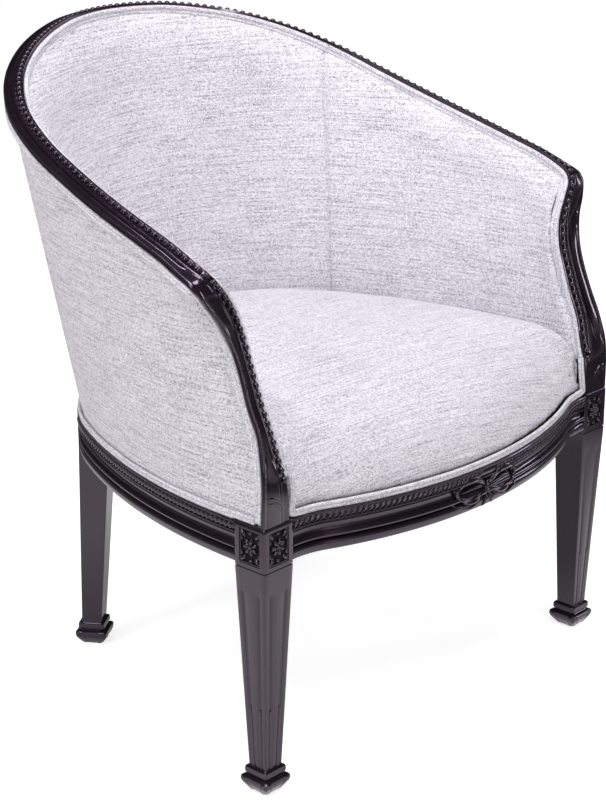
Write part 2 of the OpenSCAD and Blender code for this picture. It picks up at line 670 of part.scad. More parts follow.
// Outside face of the tub, straight from the rail up to the show-wood
function outer_base_z(d) = (d < block_w / 3 ? block_top_z : rail_top_z) + gap;
function outer_edge(t) = blend(-rail_body, guide(t)[4] - arm_edge, lookup(t, cover_reach)) - 5 * gap;
function outer_top(t) = at_guide(t, guide(t)[3] - cover_inset, outer_edge(t));
function outer_ruled(t, v) = let (d = wall_distance(t), p = plan_point(d, cover_inset))
    blend([p[0], p[1], outer_base_z(d)], outer_top(t), v);
function outer_front(v) = let (z = outer_ruled(wall_start, v)[2], t = lookup(z, rise_table))
    v >= 1 ? outer_top(wall_start) : lifted(outer_top(t), outer_base_z(0));
function outer_point(t, v, depth) = outer_ruled(t, v)
    + front_pull(t) * (outer_front(v) - outer_ruled(wall_start, v)) - depth * mix_normal(t, v);
outer_rows = [0, 0.2, 0.4, 0.6, 0.8, 1];
outer_seam = 19.3;
outer_arm_columns = [wall_start, 9.9, 10.56, 11.2, 12, 13, 14, 15, 16, 17, 17.8, 18.6, outer_seam];
outer_back_columns = [outer_seam, 20, 21, 22, 23, 24];
function outer_grid(columns, depth) = [for (t = columns) [for (v = outer_rows)
    outer_point(t, v, depth)]];

module inner_layer(columns, k) {
    slab(inner_grid(columns, k), inner_grid(columns, k + 1));
}
module inside_arm_cover_right() {
    color(cloth) inner_layer(arm_columns, 0);
}
module inside_arm_cover_left() {
    color(cloth) mirror([1, 0, 0]) inner_layer(arm_columns, 0);
}
module inside_back_cover() {
    color(cloth) round_slab(inner_grid(back_columns, 0), inner_grid(back_columns, 1));
}
module arm_pad_right() {
    color(foam_colour) inner_layer(arm_columns, 2);
}
module arm_pad_left() {
    color(foam_colour) mirror([1, 0, 0]) inner_layer(arm_columns, 2);
}
module back_pad() {
    color(foam_colour) round_slab(inner_grid(back_columns, 2), inner_grid(back_columns, 3));
}
lining_columns = concat(arm_columns, [for (i = [1 : len(back_columns) - 1]) back_columns[i]]);
module inside_lining() {
    color(jute) round_slab(inner_grid(lining_columns, 4), inner_grid(lining_columns, 5));
}
module outside_arm_cover_right() {
    color(cloth) slab(outer_grid(outer_arm_columns, 0), outer_grid(outer_arm_columns, cover_t));
}
module outside_arm_cover_left() {
    color(cloth) mirror([1, 0, 0])
        slab(outer_grid(outer_arm_columns, 0), outer_grid(outer_arm_columns, cover_t));
}
module outside_back_cover() {
    color(cloth) round_slab(outer_grid(outer_back_columns, 0),
        outer_grid(outer_back_columns, cover_t));
}

// Uprights and tack rails in the hollow of the tub wall, clear of the lining and covers
hollow_clear = 1.8;
function hollow_in(t, z) = let (q = inner_top(t)[2], v = (z - seat_line_z) / (q - seat_line_z),
        p = inner_point(t, v, layer_depth(t, v, 5) + hollow_clear)) [p[0], p[1], z];
function hollow_out(t, z) = let (a = outer_ruled(t, 0)[2], b = outer_top(t)[2],
        p = outer_point(t, clamp((z - a) / (b - a)), cover_t + hollow_clear)) [p[0], p[1], z];
upright_shares = [0, 0.15, 0.4, 0.7, 1];
upright_half = 0.27;
arm_upright_places = [12.8, 15.86];
back_upright_places = [18.85, 21.5];
function upright_top(t) = at_guide(t, 0, -rail_body - gap)[2] - 4 * gap;
module upright(t) {
    a = t - upright_half;
    b = t + upright_half;
    top = min(min(outer_top(a)[2], outer_top(b)[2]), min(upright_top(a), upright_top(b)));
    loft([for (s = upright_shares) let (z = blend(rail_top_z, top, s))
        [hollow_in(a, z), hollow_in(b, z), hollow_out(b, z), hollow_out(a, z)]]);
}
module back_uprights() {
    color(beech) both_sides() for (t = back_upright_places) upright(t);
}
module arm_uprights() {
    color(beech) both_sides() for (t = arm_upright_places) upright(t);
}
tack_h = 26;
tack_clear = 0.4;
module tack_rail(from, to, steps) {
    loft([for (i = [0 : steps]) let (t = blend(from, to, i / steps))
        [hollow_in(t, seat_line_z), hollow_in(t, seat_line_z + tack_h),
         hollow_out(t, seat_line_z + tack_h), hollow_out(t, seat_line_z)]]);
}
module tack_side() {
    tack_rail(10.8, arm_upright_places[0] - tack_clear, 2);
    tack_rail(arm_upright_places[0] + tack_clear, arm_upright_places[1] - tack_clear, 3);
    tack_rail(arm_upright_places[1] + tack_clear, wall_seam - tack_clear / 2, 3);
}
module tack_rail_right() {
    color(beech) tack_side();
}
module tack_rail_left() {
    color(beech) mirror([1, 0, 0]) tack_side();
}
module tack_rail_back() {
    color(beech) {
        both_sides() {
            tack_rail(wall_seam + tack_clear / 2, back_upright_places[0] - tack_clear, 2);
            tack_rail(back_upright_places[0] + tack_clear, back_upright_places[1] - tack_clear, 3);
        }
        half = [for (t = [back_upright_places[1] + tack_clear, 22.6, 23.3, guide_last])
            [hollow_in(t, seat_line_z), hollow_in(t, seat_line_z + tack_h),
             hollow_out(t, seat_line_z + tack_h), hollow_out(t, seat_line_z)]];
        loft(full_round(half));
    }
}

corner_steps = 4;
module block_front_corner() {
    difference() {
        translate([0, 0, corner_z])
            linear_extrude(corner_h)
                polygon(concat(
                    [for (i = [0 : corner_steps]) let (x = block_inner_x - corner_leg * (1 - i / corner_steps))
                        [x, front_plan(x, rail_t + gap)]],
                    [[block_inner_x, plan_y]],
                    [for (i = [0 : corner_steps])
                        plan_point(corner_leg * i / corner_steps, rail_t + gap)]));
        corner_screw_places()
            cylinder(r = screw_r + gap / 2, h = 2 * screw_len, center = true, $fn = round_fn);
    }
}
module block_rear_corner() {
    w = rear_leg_w / 2;
    far = w + corner_leg;
    at_rear_leg()
        translate([0, 0, corner_z])
            linear_extrude(corner_h)
                polygon(concat([[-w, -0.8 * w]],
                    [for (i = [0 : corner_steps]) let (x = -blend(w, far, i / corner_steps))
                        [x, rear_face_y(x, back_radius - rail_t - gap)]]));
}
module corner_blocks() {
    color(beech)
        both_sides() {
            block_front_corner();
            block_rear_corner();
        }
}
module corner_screws() {
    color(steel)
        both_sides()
            corner_screw_places() {
                translate([0, 0, -gap])
                    cylinder(r = screw_r, h = screw_len, $fn = round_fn);
                translate([0, 0, -screw_head_r / 2 - gap])
                    cylinder(r = screw_head_r, h = screw_head_r / 2, $fn = round_fn);
            }
}
module rail_dowels() {
    color(beech)
        both_sides()
            rear_joint()
                cylinder(r = dowel_r, h = dowel_len, center = true, $fn = round_fn);
}
module post_dowels() {
    color(beech)
        both_sides()
            post_dowel_place()
                cylinder(r = post_dowel_r, h = post_dowel_len, center = true, $fn = round_fn);
}

// Front edge in plan, set in from the face of the serpentine rail
function front_plan(x, inset) = let (m = (bow_radius - inset) * sin(bow_angle))
    x < m ? bow_cy - sqrt(pow(bow_radius - inset, 2) - x * x)
    : x < bow_half ? block_y - cove_radius + sqrt(pow(cove_radius + inset, 2) - pow(bow_half - x, 2))
    : block_y + inset;
plan_shares = [0.02, 0.1, 0.2, 0.3, 0.4, 0.5, 0.6, 0.7, 0.8, 0.9];
function rails_outline(inset) = let (half = concat(
        [for (s = [each [0 : 0.1 : 0.7], each [0.74 : 0.04 : 0.9], 1])
            [s * (plan_a - inset), front_plan(s * (plan_a - inset), inset)]],
        [for (s = [0 : 0.1 : 1]) plan_point(s * side_len, inset)],
        [for (s = [0.12 : 0.11 : 1]) plan_point(side_len + s * back_len, inset)]))
    concat(half, [for (i = [len(half) - 1 : -1 : 1]) [-half[i][0], half[i][1]]]);

// Seat webbing: straps tacked to the rail tops, the cross straps laid over the long ones
strap_end = rail_t / 2;
long_shares = [-0.5, -0.167, 0.167, 0.5];
cross_shares = [0.16, 0.34, 0.515, 0.7];
function long_x(s) = s * block_inner_x;
function cross_y(s) = block_y + s * rail_plan_depth;
module strap_region() {
    translate([0, 0, rail_top_z - over])
        linear_extrude(3 * strap_t + 2 * over)
            polygon(rails_outline(strap_end));
}
module seat_webbing_long() {
    color(jute)
        for (s = long_shares)
            intersection() {
                translate([long_x(s) - strap_w / 2, -overall_depth, rail_top_z])
                    cube([strap_w, 2 * overall_depth, strap_t]);
                strap_region();
            }
}
module seat_webbing_cross() {
    reach = long_x(long_shares[3]) + strap_w / 2 + 3 * strap_t;
    drop = 6 * strap_t;
    z = rail_top_z;
    upper = [[reach + drop, z], [plan_a, z], [plan_a, z + strap_t], [reach + drop, z + strap_t],
        [reach, z + 2 * strap_t], [-reach, z + 2 * strap_t], [-reach - drop, z + strap_t],
        [-plan_a, z + strap_t], [-plan_a, z], [-reach - drop, z], [-reach, z + strap_t],
        [reach, z + strap_t]];
    color(jute)
        for (s = cross_shares)
            intersection() {
                translate([0, cross_y(s), 0])
                    rotate([90, 0, 0])
                        linear_extrude(strap_w, center = true)
                            polygon(upper);
                strap_region();
            }
}

// Seat: a domed cushion of foam and its cover. The outline runs from the middle of the front
// round the side to the back; each row is a point in plan and the height of the edge there.
seat_centre_share = 0.4;
seat_centre = [0, block_y + seat_centre_share * rail_plan_depth];
post_inner_x = guide_points[0][0] - rail_lip - gap;
apron_z = block_top_z + gap + strap_t;
corner_top_z = guide(welt_start)[2];
seat_front_shares = [0, 0.12, 0.24, 0.36, 0.48, 0.6, 0.72, 0.8, 0.87, 0.94];
seat_side_shares = [0.02, 0.08, 0.2, 0.36, 0.52, 0.68, 0.84, 1];
seat_back_shares = [0.2, 0.4, 0.6, 0.8, 1];
function seat_half() = let (
        y0 = block_y + cover_inset + 2 * gap, side_x = plan_a - wall_t - 2 * gap,
        front_edge_y = guide_points[0][1] + welt_drop - 2 * over) concat(
    [for (s = seat_front_shares) let (x = s * post_inner_x) [x, front_plan(x, cover_inset + 3 * gap), apron_z]],
    [[post_inner_x, y0, apron_z],
     [post_inner_x, blend(y0, front_edge_y, 0.5), blend(apron_z, corner_top_z, 0.6)],
     [post_inner_x, front_edge_y - 4 * gap, corner_top_z],
     [side_x, front_edge_y + 2 * gap, blend(corner_top_z, seat_line_z, 0.15)],
     [side_x, blend(front_edge_y, plan_y, 0.5), blend(corner_top_z, seat_line_z, 0.6)]],
    [for (s = seat_side_shares) let (p = plan_point(s * side_len, wall_t + 3 * gap))
        [p[0], p[1], blend(seat_line_z, blend(corner_top_z, seat_line_z, 0.8), clamp(1 - 8 * s))]],
    [for (s = seat_back_shares) let (p = plan_point(side_len + s * back_len, wall_t + 3 * gap))
        [p[0], p[1], seat_line_z]]);
function loop(half) = concat(half, [for (i = [len(half) - 2 : -1 : 1]) [-half[i][0], half[i][1], half[i][2]]]);
seat_outline = loop(seat_half());
seat_rings = [0.985, 0.95, 0.9, 0.82, 0.7, 0.52, 0.3, 0.08];
function seat_ring(share, inset, crown) = [for (p = seat_outline) let (
        d = [p[0], p[1]] - seat_centre, len = norm(d), k = share * (len - inset) / len,
        low = clamp((seat_line_z - p[2]) / (seat_line_z - apron_z)), n = 2.3 + 1.5 * low,
        z = p[2] + (crown - p[2]) * sqrt(1 - pow(share, n)))
    [seat_centre[0] + k * d[0], seat_centre[1] + k * d[1], z]];
function seat_flat(share, inset, drop_share) = [for (p = seat_outline) let (
        d = [p[0], p[1]] - seat_centre, len = norm(d), k = share * (len - inset) / len)
    [seat_centre[0] + k * d[0], seat_centre[1] + k * d[1],
     blend(p[2] - gap, wall_bottom_z - 2 * gap, drop_share)]];
module seat_foam() {
    inset = cover_t + 2 * gap;
    crown = seat_crown_z - cover_t - gap;
    bottom = [for (k = [seat_rings[7], 1]) [for (p = seat_ring(k, inset, crown))
        [p[0], p[1], wall_bottom_z]]];
    color(foam_colour)
        loft(concat(bottom, [for (k = concat([1], seat_rings)) [for (p = seat_ring(k, inset, crown))
            [p[0], p[1], max(p[2] - gap, wall_bottom_z + strap_t)]]]));
}
module seat_cover() {
    color(cloth)
        loft(concat(
            [for (i = [len(seat_rings) - 1 : -1 : 0]) seat_ring(seat_rings[i], cover_t, seat_crown_z - cover_t)],
            [seat_ring(1, cover_t, seat_crown_z), seat_flat(1, cover_t, 0.4), seat_flat(1, 0, 0.4)],
            [for (k = concat([1], seat_rings)) seat_ring(k, 0, seat_crown_z)]));
}

// Double welt: a path of base points with the direction in which the cords stand off
welt_section = [[0, 1.15], [0.6, 1.85], [1.5, 1.85], [2, 1], [1.9, 0], [-1.9, 0], [-2, 1],
    [-1.5, 1.85], [-0.6, 1.85]];
module welt(path) {
    m = len(path) - 1;
    loft([for (i = [0 : m]) let (
            t = unit(path[min(i + 1, m)][0] - path[max(i - 1, 0)][0]), d = path[i][1],
            w = unit(cross(d, t)))
        [for (s = welt_section) path[i][0] + s[0] * welt_r * w + s[1] * welt_r * d]]);
}
function path_round(path) = concat(path, [for (i = [len(path) - 2 : -1 : 0])
    [turned_over([path[i][0]])[0], turned_over([path[i][1]])[0]]]);
wood_stations = concat(post_stations, [for (i = [1 : len(arm_stations) - 1]) arm_stations[i]],
    [for (i = [1 : len(crest_stations) - 1]) crest_stations[i]]);
module inside_welt() {
    color(cloth)
        welt(path_round([for (t = concat([welt_start + 0.12], [for (t = wood_stations) if (t > 1.5) t]))
            [at_guide(t, -rail_lip - 2 * gap, -pearl_r / 2 - 2 * welt_r), -guide_out(t)]]));
}
module seat_welt() {
    x = post_inner_x - 2 * welt_r;
    z = rail_top_z + gap + 2 * welt_r;
    y = block_y + cover_inset;
    y1 = guide_points[0][1] + welt_drop - 3 * gap;
    color(cloth)
        welt(path_round(concat(
            [[[x, y1 - over, corner_top_z], [0, -1, 0]],
             [[x, blend(y, y1, 0.5) - over / 2, blend(z, corner_top_z, 0.6)], [0, -1, 0]],
             [[x, y, z + 2.5 * welt_r], [0, -1, 0]],
             [[x - 0.8 * welt_r, y, z + 0.8 * welt_r], [0, -1, 0]]],
            [for (s = [0.96 : -0.06 : 0.01]) let (q = s * (x - 2 * welt_r), e = over / 2,
                    v = [q, front_plan(q, cover_inset)],
                    n = unit([front_plan(q + e, cover_inset) - v[1], -e]))
                [[v[0], v[1], z], [n[0], n[1], 0]]],
            [[[0, front_plan(0, cover_inset), z], [0, -1, 0]]]
        )));
}
// The top welt leans with the outside covers, which swell behind the posts
welt_stand = 1.5;
welt_lean = [[0, 0.05], [3, 0.25], [5, 0.5], [6.5, 0.5], [9, 0.25], [12, 0]];
module outside_welt_top() {
    color(cloth)
        welt(path_round([for (t = concat([0.12], [for (t = wood_stations) if (t > 0.3) t])) let (
                k = lookup(t, welt_lean), d = unit(guide_out(t) + k * guide_up(t)),
                s = unit(k * guide_out(t) - guide_up(t)))
            [at_guide(t, guide(t)[3] - cover_inset + welt_stand, outer_edge(t))
                + 2 * welt_r * s, d]]));
}
// The base welt lies on the outside covers just over the rails and leans with them
base_start = wall_start + (11 - wall_start) * (4 * welt_r + 3 * gap) / side_len / (0.06 - wall_front);
base_columns = concat([base_start], [for (t = outer_arm_columns) if (t > base_start + 0.1) t],
    [for (i = [1 : len(outer_back_columns) - 1]) outer_back_columns[i]]);
module outside_welt_base() {
    color(cloth)
        welt(path_round([for (t = base_columns) let (
                a = outer_point(t, 0, -gap), up = unit(outer_point(t, 0.1, -gap) - a),
                n = mix_normal(t, 0), d = unit(n - (n * up) * up))
            [a + (2 * welt_r + gap) * up + gap * d, d]]));
}

// Black dust cover tacked under the rails, cut out round the legs
module dust_cover() {
    color(cambric)
        difference() {
            translate([0, 0, rail_bottom_z - lining_t])
                linear_extrude(lining_t)
                    polygon(rails_outline(strap_end));
            both_sides() {
                translate([block_inner_x - gap, block_y - gap, 0])
                    cube([block_w + 2 * gap, block_w + 2 * gap, block_top_z]);
                at_rear_leg()
                    translate([-rear_leg_w / 2 - gap, -rear_leg_w / 2 - gap, 0])
                        cube([rear_leg_w + 2 * gap, rear_leg_w + 2 * gap, block_top_z]);
            }
        }
}

front_leg_left();
front_leg_right();
rear_leg_left();
rear_leg_right();
front_rail();
side_rail_left();
side_rail_right();
back_rail();
arm_post_left();
arm_post_right();
arm_rail_left();
arm_rail_right();
crest_rail();
back_uprights();
arm_uprights();
tack_rail_back();
tack_rail_left();
tack_rail_right();
corner_blocks();
corner_screws();
rail_dowels();
post_dowels();
seat_webbing_long();
seat_webbing_cross();
seat_foam();
seat_cover();
inside_lining();
back_pad();
arm_pad_left();
arm_pad_right();
inside_back_cover();
inside_arm_cover_left();
inside_arm_cover_right();
outside_back_cover();
outside_arm_cover_left();
outside_arm_cover_right();
inside_welt();
seat_welt();
outside_welt_top();
outside_welt_base();
dust_cover();
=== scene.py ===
import bpy
import bmesh
import math
import numpy as np
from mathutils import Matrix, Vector


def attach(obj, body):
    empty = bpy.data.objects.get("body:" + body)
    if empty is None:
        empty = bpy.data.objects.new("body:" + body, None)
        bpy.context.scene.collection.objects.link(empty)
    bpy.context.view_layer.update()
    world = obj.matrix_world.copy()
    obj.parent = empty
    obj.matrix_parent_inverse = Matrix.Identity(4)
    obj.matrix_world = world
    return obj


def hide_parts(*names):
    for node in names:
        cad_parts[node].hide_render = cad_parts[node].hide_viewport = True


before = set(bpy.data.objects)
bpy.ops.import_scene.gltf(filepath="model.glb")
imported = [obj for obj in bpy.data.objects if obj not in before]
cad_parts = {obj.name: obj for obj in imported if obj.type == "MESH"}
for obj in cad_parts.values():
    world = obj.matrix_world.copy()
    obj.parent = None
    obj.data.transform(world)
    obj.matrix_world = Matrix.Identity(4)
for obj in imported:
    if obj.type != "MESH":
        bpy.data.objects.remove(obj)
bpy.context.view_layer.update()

# Legs. The two front legs are square blocks over tapered, fluted shafts on carved feet, and the
# rear legs are plain and raked. They are beech, stained black and sprayed with a satin lacquer
# that lies over the grain as a thin skin and picks up pale, soft highlights on every edge.


def hex_colour(code):
    # An sRGB hex value as a linear colour
    parts = [int(code[i:i + 2], 16) / 255 for i in (1, 3, 5)]
    return tuple([c / 12.92 if c <= 0.04045 else ((c + 0.055) / 1.055) ** 2.4 for c in parts] + [1.0])


def add(tree, kind, place, inputs=None, **settings):
    # A node with its settings, values and links. A Mix node that mixes colours takes its factor
    # in socket 0 and the colours in 6 and 7, and gives the mix from output 2.
    node = tree.nodes.new(kind)
    node.location = place
    for key, value in settings.items():
        setattr(node, key, value)
    for key, value in (inputs or {}).items():
        if isinstance(value, bpy.types.NodeSocket):
            tree.links.new(value, node.inputs[key])
        else:
            node.inputs[key].default_value = value
    return node


def new_material(name):
    material = bpy.data.materials.new(name)
    material.use_nodes = True
    tree = material.node_tree
    tree.nodes.clear()
    shader = add(tree, "ShaderNodeBsdfPrincipled", (400, 0))
    add(tree, "ShaderNodeOutputMaterial", (700, 0), {"Surface": shader.outputs["BSDF"]})
    return material, tree, shader


def ebonised_beech():
    # Stain and satin lacquer on beech: near black, with the flecks of the beech just felt as
    # shallow dents of 0.7 by 8 mm, and a sheen that changes every 18 mm or so from rubbing
    material, tree, shader = new_material("ebonised_beech_satin_lacquer")
    place = add(tree, "ShaderNodeTexCoord", (-1100, 0)).outputs["Object"]
    grain = add(tree, "ShaderNodeMapping", (-900, 100), {"Vector": place, "Scale": (1500, 1500, 130)})
    flecks = add(tree, "ShaderNodeTexNoise", (-700, 100),
                 {"Vector": grain.outputs[0], "Scale": 1.0, "Detail": 2.0, "Roughness": 0.5})
    clouds = add(tree, "ShaderNodeTexNoise", (-700, -200),
                 {"Vector": place, "Scale": 55.0, "Detail": 3.0})
    colour = add(tree, "ShaderNodeMix", (-200, 150), {
        0: clouds.outputs["Fac"], 6: hex_colour("#151116"), 7: hex_colour("#221c22")}, data_type="RGBA")
    tree.links.new(colour.outputs[2], shader.inputs["Base Color"])
    sheen = add(tree, "ShaderNodeMapRange", (-200, -150),
                {"Value": clouds.outputs["Fac"], "To Min": 0.2, "To Max": 0.3})
    tree.links.new(sheen.outputs[0], shader.inputs["Roughness"])
    bump = add(tree, "ShaderNodeBump", (100, -300),
               {"Height": flecks.outputs["Fac"], "Strength": 0.05, "Distance": 0.0002})
    tree.links.new(bump.outputs[0], shader.inputs["Normal"])
    shader.inputs["IOR"].default_value = 1.5
    shader.inputs["Coat Weight"].default_value = 1.0
    shader.inputs["Coat Roughness"].default_value = 0.06
    shader.inputs["Coat IOR"].default_value = 1.55
    shader.inputs["Coat Tint"].default_value = hex_colour("#f6e6f6")
    shader.inputs["Specular Tint"].default_value = hex_colour("#fbdcff")
    return material


lacquer = ebonised_beech()

# Sizes that the legs, rails and covers share, in millimetres as on the drawing
mm = 0.001
depth, width = 652.0, 630.0
block_w, block_h, block_bottom = 45.0, 54.0, 275.5
leg_tip, foot_h = 26.0, 30.0
rail_h, rail_drop, rail_bow, band_proud = 48.4, 1.6, 57.0, 1.8
plan_depth = 522.0
block_y = -depth / 2 + rail_bow + band_proud
block_top = block_bottom + block_h
block_x = width / 2 - block_w / 2
rail_top = block_top - rail_drop
rail_bottom = rail_top - rail_h
plan_a, plan_y, plan_b = width / 2, block_y + block_w, plan_depth - block_w
back_r = 0.8353 * plan_a
back_cy = plan_y + plan_b - back_r


def blend(a, b, t):
    return a + (b - a) * t


def clamp(x):
    return max(0.0, min(1.0, x))


def smooth(x):
    c = clamp(x)
    return c * c * (3 - 2 * c)


def outward_mesh(name, points, faces, uv=None):
    # A mesh in metres from points in millimetres, with its faces turned outwards
    mesh = bpy.data.meshes.new(name)
    mesh.from_pydata([tuple(p) for p in np.asarray(points, float) * mm], [], faces)
    if uv is not None:
        layer = mesh.uv_layers.new(name="weave")
        flat_uv = np.array([uv[v] for face in faces for v in face], float) * mm
        layer.data.foreach_set("uv", flat_uv.ravel())
    shape = bmesh.new()
    shape.from_mesh(mesh)
    bmesh.ops.recalc_face_normals(shape, faces=shape.faces)
    if shape.calc_volume(signed=True) < 0:
        bmesh.ops.reverse_faces(shape, faces=shape.faces)
    shape.to_mesh(mesh)
    shape.free()
    return mesh


def piece_from(name, points, faces, material, replaced=(), uv=None, sharp=35):
    # A piece of its own on the chair's one body, in place of the solids that it stands for
    mesh = outward_mesh(name, points, faces, uv)
    mesh.shade_smooth()
    if sharp:
        mesh.set_sharp_from_angle(angle=math.radians(sharp))
    mesh.materials.append(material)
    obj = bpy.data.objects.new(name, mesh)
    bpy.context.collection.objects.link(obj)
    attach(obj, "root")
    if replaced:
        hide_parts(*replaced)
    return obj


def loft_faces(m, n, first=0, capped=True):
    faces = [(first + i * n + j, first + i * n + (j + 1) % n, first + (i + 1) * n + (j + 1) % n,
              first + (i + 1) * n + j) for i in range(m - 1) for j in range(n)]
    if capped:
        faces += [tuple(first + j for j in range(n)), tuple(first + (m - 1) * n + j for j in range(n))]
    return faces


def lofted(name, rings, material, replaced=(), sharp=35, uv_size=None):
    # A skin over rings of points, closed at both ends; uv_size is the weave's width round a ring
    rings = np.asarray(rings, float)
    m, n = rings.shape[:2]
    uv = None
    if uv_size:
        along = np.concatenate([[0], np.cumsum(np.linalg.norm(np.diff(rings[:, 0], axis=0), axis=1))])
        uv = [(along[i], j / n * uv_size) for i in range(m) for j in range(n)]
    return piece_from(name, rings.reshape(-1, 3), loft_faces(m, n), material, replaced, uv, sharp)


def flipped(points):
    return np.asarray(points, float) * np.array([-1.0, 1.0, 1.0])


def lofted_pair(name, rings, material, replaced, sharp):
    # The right piece and its mirrored left one
    right = lofted(name + "_right", rings, material, (replaced + "_right",), sharp)
    left = lofted(name + "_left", [flipped(r) for r in rings], material, (replaced + "_left",), sharp)
    return right, left


# A leg is one loft of square rings: a foot that widens from a small pad to a roll, a neck and a
# collar, the shaft, and a block with a sunk and framed panel on its front and its outer side
panel_z = block_bottom + 0.51 * block_h
panel_half_w, panel_half_h, panel_deep = 0.345 * block_w, 0.38 * block_h, 2.5
flute_reach, flute_deep, flute_h = 3.1, 1.9, 219.0
flute_low_place, flute_high_place = 5.3, 12.0
flute_top = foot_h + flute_h
block_edge, foot_edge = 0.8, 2.6
foot_rings = [(0, 12.9), (0.6, 13.5), (3, 15.3), (6.4, 17.7), (9.4, 19.6), (12, 20.5), (15.2, 20.7),
              (16.8, 20.3), (17.9, 19.0), (18.5, 17.2), (19.4, 15.5), (20.3, 14.9), (21.2, 14.9),
              (21.7, 16.6), (22.5, 17.1), (27.5, 17.1), (28.6, 16.7), (29.3, 15.2), (29.7, 13.8)]


def flute_place(z):
    return blend(flute_low_place, flute_high_place, (z - foot_h) / flute_h)


def mirrored_marks(marks, middle, half, corner):
    # marks run from a face's edge to its middle as place and sink
    eased = 0.29 * corner
    left = [(corner - half, 0)] + [(-a, s) for a, s in marks]
    right = list(marks[::-1]) + [(half - corner, 0), (half - eased, eased)]
    return left + [(0, middle)] + right


def plain_marks(half, corner):
    rows = [((half - corner) * (1 - k / 14), 0) for k in range(1, 14)]
    return mirrored_marks(rows, 0, half, corner)


def flute_marks(half, corner, z):
    fade = math.sqrt(clamp(1 - clamp((z - flute_top + 5) / 5) ** 2))
    middle = flute_place(min(z, flute_top))
    rows = [(middle + flute_reach * u, flute_deep * fade * math.cos(math.pi * u / 2) ** 2)
            for u in np.linspace(1, -1, 13)]
    return mirrored_marks(rows, 0, half, corner)


def panel_marks(half, corner, step, deep):
    w = panel_half_w
    rows = [(w, 0), (w - 0.3, step), (w - 1.5, step), (w - 1.8, deep)]
    rows += [(a, deep) for a in np.linspace(w - 3.2, 0.9, 9)]
    return mirrored_marks(rows, deep, half, corner)


def foot_marks(half, corner, z):
    # A leaf on each corner of the foot, outlined by a raised rib that meets the next one below
    rib = 2.0 + 7.5 * math.sin(math.pi * clamp((z + 1) / 20)) ** 0.7
    rows = []
    for k in range(1, 14):
        a = (half - corner) * (1 - k / 14)
        rows.append((a, -0.9 * math.exp(-((half - a - rib) / 1.0) ** 2) * smooth((17.5 - z) / 3)))
    return mirrored_marks(rows, 0, half, corner)


def square_ring(centre, turn, z, half, faces):
    # One level of a leg, from the marks of its four faces: front, right, back and left
    c, s, ring = math.cos(turn), math.sin(turn), []
    for (nx, ny), marks in zip(((0, -1), (1, 0), (0, 1), (-1, 0)), faces):
        for a, sink in marks:
            x, y = nx * (half - sink) - ny * a, ny * (half - sink) + nx * a
            ring.append((centre[0] + x * c - y * s, centre[1] + x * s + y * c, z))
    return ring


def face_half(z):
    return (leg_tip + (block_w - leg_tip) * (z - foot_h) / (block_bottom - foot_h)) / 2


def front_leg_rings():
    centre = (block_x, block_y + block_w / 2)
    rings = [square_ring(centre, 0, z, w, [foot_marks(w, foot_edge, z)] * 4) for z, w in foot_rings]
    heights = [foot_h, foot_h + 1] + list(np.linspace(foot_h + 15, flute_top - 5, 13))
    heights += [flute_top - d for d in (4, 3, 2, 1.2, 0.5, 0)] + [flute_top + 12, block_bottom]
    for z in heights:
        w = face_half(z)
        fluted, plain = flute_marks(w, block_edge, z), plain_marks(w, block_edge)
        rings.append(square_ring(centre, 0, z, w, [fluted, fluted, plain, plain]))
    low, high = panel_z - panel_half_h, panel_z + panel_half_h
    # Height, how far the block's faces stand back, and the sink of the panel's frame and ground
    rows = [(block_bottom + 0.9, 0, 0, 0), (block_bottom + 1.2, 1.0, 0, 0), (block_bottom + 2.2, 1.0, 0, 0),
            (block_bottom + 2.6, 0, 0, 0), (low, 0, 0, 0), (low + 0.3, 0, 1, 1), (low + 1.5, 0, 1, 1),
            (low + 1.8, 0, 1, panel_deep), (high - 1.8, 0, 1, panel_deep), (high - 1.5, 0, 1, 1),
            (high - 0.3, 0, 1, 1), (high, 0, 0, 0), (block_top - 1.7, 0, 0, 0), (block_top - 0.9, 0.3, 0, 0),
            (block_top - 0.3, 1.0, 0, 0), (block_top, 2.2, 0, 0)]
    for z, scribe, step, deep in rows:
        w = block_w / 2 - scribe
        carved_face, plain = panel_marks(w, block_edge, step, deep), plain_marks(w, block_edge)
        rings.append(square_ring(centre, 0, z, w, [carved_face, carved_face, plain, plain]))
    return rings


# Painted shade in the sunk ground of the panels between the carved leaves: a near-black, dull finish that
# darkens the recess where shade falls
painted_ground_shade, painted_ground_shade_tree, painted_ground_shade_shader = new_material("black_panel_ground_painted_shade")
painted_ground_shade_noise = add(painted_ground_shade_tree, "ShaderNodeTexNoise", (-400, 0), {"Scale": 900.0})
painted_ground_shade_mix = add(painted_ground_shade_tree, "ShaderNodeMix", (0, 0), {
    0: painted_ground_shade_noise.outputs["Fac"], 6: hex_colour("#0c0a0c"), 7: hex_colour("#171417")}, data_type="RGBA")
painted_ground_shade_tree.links.new(painted_ground_shade_mix.outputs[2], painted_ground_shade_shader.inputs["Base Color"])
painted_ground_shade_shader.inputs["Roughness"].default_value = 0.65
painted_ground_shade_shader.inputs["Specular IOR Level"].default_value = 0.2
front_legs = lofted_pair("front_leg_carved", front_leg_rings(), lacquer, "front_leg", 30)
# Each front leg takes the painted shade on the faces of its panels' sunk floor
for sign, leg in zip((1, -1), front_legs):
    leg.data.materials.append(painted_ground_shade)
    for face in leg.data.polygons:
        x, y, z = [c / mm for c in face.center]
        across = (sign * x - block_x, y - block_y - block_w / 2)
        sunk = [block_w / 2 - across[0], block_w / 2 + across[1]]
        if abs(z - panel_z) < panel_half_h - 1.6 and min(abs(s - panel_deep) for s in sunk) < 0.2 \
                and max(abs(a) for a in across) < block_w / 2 - 2:
            face.material_index = 1

